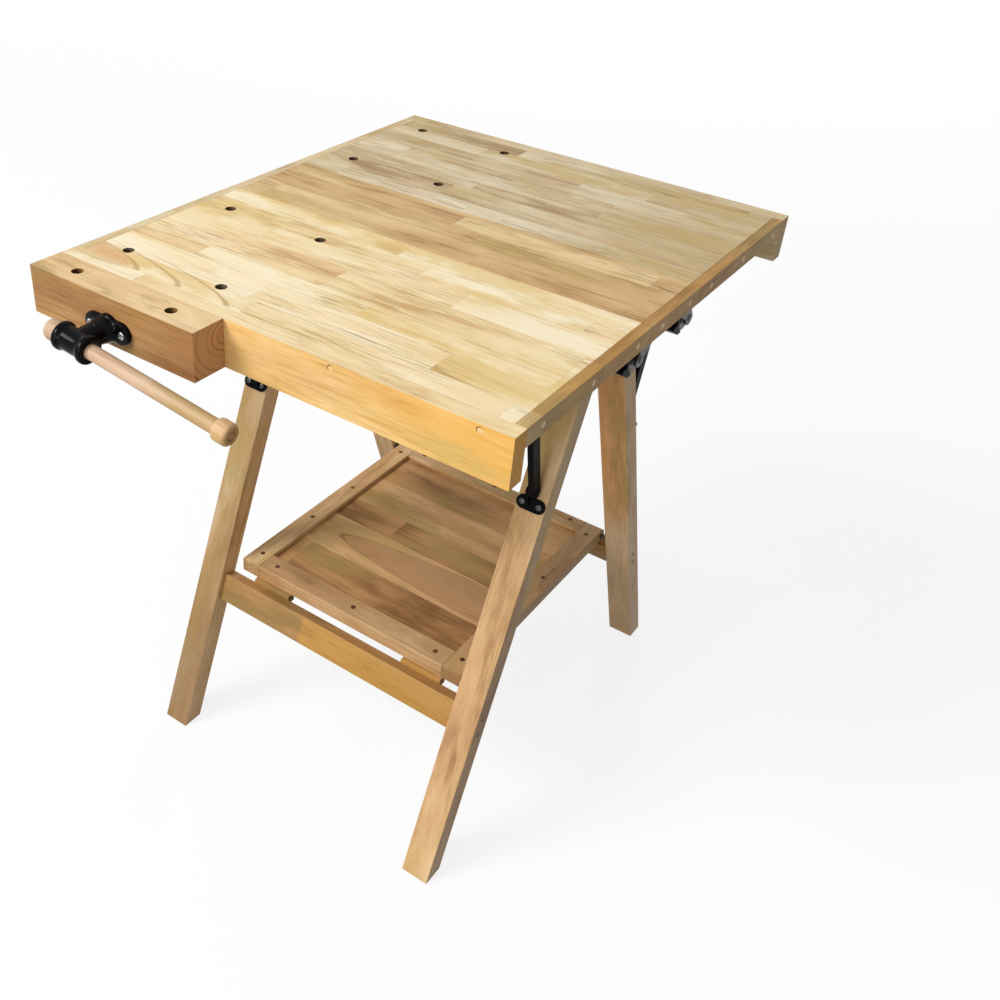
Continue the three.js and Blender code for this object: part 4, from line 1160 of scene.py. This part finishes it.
def outer_corner(name, sign):
    """The corner of a node's box on the low or the high side."""
    return corners_of(name)[sign > 0]


plug_count = 0
for body, shares in BATTEN_PLUGS.items():
    places = []
    for end, sign in ENDS.items():
        name = f"{body}_batten_{end}"
        low, high = corners_of(name)
        for share in shares:
            y = low.y + (high.y - low.y) * share
            places.append((Vector((outer_corner(name, sign).x, y, middle(name).z)), ACROSS_X * sign))
    plug_count += plugs(f"batten_plugs_{body}", body, places, "pale")
for side, outwards in SIDES.items():
    leaf = f"{side}_leaf"
    y = outer_corner(f"{side}_apron", outwards).y
    z = outer_corner(f"{side}_apron", 1).z - APRON_PLUG_DROP * MM
    places = [(Vector((x * MM, y, z)), ACROSS_Y * outwards) for x in APRON_PLUGS[side]]
    plug_count += plugs(f"apron_plugs_{side}", leaf, places, "amber")
    # Painted shadow: dark discs behind the apron plugs show as crescents.
    plug_shadows = [(place + SHADOW_DISC_SHIFT, way) for place, way in places]
    plugs(f"apron_plug_shadows_{side}", leaf, plug_shadows, "dark", PLUG_SHADOW_DISC)
places = []
rail_top = outer_corner("shelf_rail_front", 1).z
for side in SIDES:
    y = middle(f"shelf_rail_{side}").y
    places += [(Vector((x * MM, y, rail_top)), UPWARDS) for x in RAIL_PLUGS]
for end in ENDS:
    x = middle(f"shelf_rail_{end}").x
    places += [(Vector((x, y * MM, rail_top)), UPWARDS) for y in SIDE_RAIL_PLUGS]
plug_count += plugs("shelf_plugs", "shelf", places, "dark")
for side in SIDES:
    places = []
    for end, sign in ENDS.items():
        for reach in LEG_PLUGS:
            place = joint_place(f"{side}_frame_fold") + down_leg(side) * reach * MM
            place.x = outer_corner(f"leg_{side}_{end}", sign).x
            places.append((place, ACROSS_X * sign))
    plug_count += plugs(f"leg_plugs_{side}", f"{side}_frame", places, "dark")
print("plugs", plug_count)

# %% [markdown]
# ## The studio
# The photograph is lit softly from the front left, on white. One big lamp stands there, a weaker
# and lower one in front lights the legs and the shelf under the top, a low one behind keeps the
# back from going dull, and the world gives the rest, at a level where a colour on the top renders
# about as it was written. The low lamp behind would glare in the lacquer, so it gives no shine. The
# lamps stand far off, so that the light is even. The floor is a plain pale sheet. To the camera most
# of its white is light of its own, so that it stays white and still shows the bench's soft shadow,
# and the world behind it is white to the camera in the same way.

# %% Floor and light
WHITE = (1, 1, 1, 1)
PAPER_WHITE = (0.95, 0.95, 0.95, 1)
FLOOR_GREY = (0.34, 0.34, 0.34, 1)
FLOOR_GLOW = 0.82
FLOOR_FADE = (2.2, 6.0)
FLOOR_HALF = 25.0
FLOOR_DROP = -0.5 * MM
WORLD_LIGHT = 0.37
AIM = Vector((0, 0, 0.55))


def lamp(name, place, size, power, shine=True):
    data = bpy.data.lights.new(name, "AREA")
    data.size = size
    data.energy = power
    made = add_object(name, data)
    turn = (AIM - Vector(place)).to_track_quat("-Z", "Y").to_matrix().to_4x4()
    made.matrix_world = Matrix.Translation(place) @ turn
    made.visible_glossy = shine


def seen(start):
    """1 for what the camera sees, itself or in metal and glass, and 0 for the light on the bench."""
    names = ("Is Camera Ray", "Is Glossy Ray", "Is Transmission Ray")
    direct, mirrored, through = (start.node("ShaderNodeLightPath", output=name) for name in names)
    return direct.largest(mirrored).largest(through)


def floor_material():
    material, shader, start = new_material("pale_floor")
    plain = start.node("ShaderNodeBsdfDiffuse", (), {"Color": FLOOR_GREY})
    paper = start.node("ShaderNodeBsdfDiffuse", (), {"Color": PAPER_WHITE})
    glow = start.node("ShaderNodeEmission", (), {"Color": WHITE, "Strength": 1.0})
    place = start.node("ShaderNodeTexCoord", output="Object")
    along, across = place.dot(ACROSS_X), place.dot(ACROSS_Y)
    far = (along * along + across * across).root().step(*FLOOR_FADE)
    share = FLOOR_GLOW + (1 - FLOOR_GLOW) * far
    white = start.node("ShaderNodeMixShader", (), {0: share, 1: paper, 2: glow})
    whole = start.node("ShaderNodeMixShader", (), {0: seen(start), 1: plain, 2: white})
    output = material.node_tree.nodes["Material Output"]
    material.node_tree.links.new(whole.socket, output.inputs["Surface"])
    material.node_tree.nodes.remove(shader)
    return material


floor_corners = [(-1, -1), (1, -1), (1, 1), (-1, 1)]
floor_places = [(x * FLOOR_HALF, y * FLOOR_HALF, FLOOR_DROP) for x, y in floor_corners]
floor_data = bpy.data.meshes.new("studio_floor")
floor_data.from_pydata(floor_places, [], [(0, 1, 2, 3)])
floor_data.materials.append(floor_material())
floor = add_object("studio_floor", floor_data)
world = bpy.data.worlds.new("studio")
world.use_nodes = True
world_tree = world.node_tree
background = world_tree.nodes["Background"]
background.inputs["Color"].default_value = WHITE
background.inputs["Strength"].default_value = WORLD_LIGHT
soft = Field(world_tree, background.outputs[0])
backdrop = soft.node("ShaderNodeBackground", (), {"Color": WHITE, "Strength": 1.0})
sky = soft.node("ShaderNodeMixShader", (), {0: seen(soft), 1: soft, 2: backdrop})
world_tree.links.new(sky.socket, world_tree.nodes["World Output"].inputs["Surface"])
bpy.context.scene.world = world
lamp("key", (-3.8, -5.6, 6.2), 3.4, 650)
lamp("fill", (0.2, -6.5, 1.9), 3.0, 140)
lamp("back", (-2.5, 6.4, 1.9), 3.0, 130, shine=False)
print("studio ready")
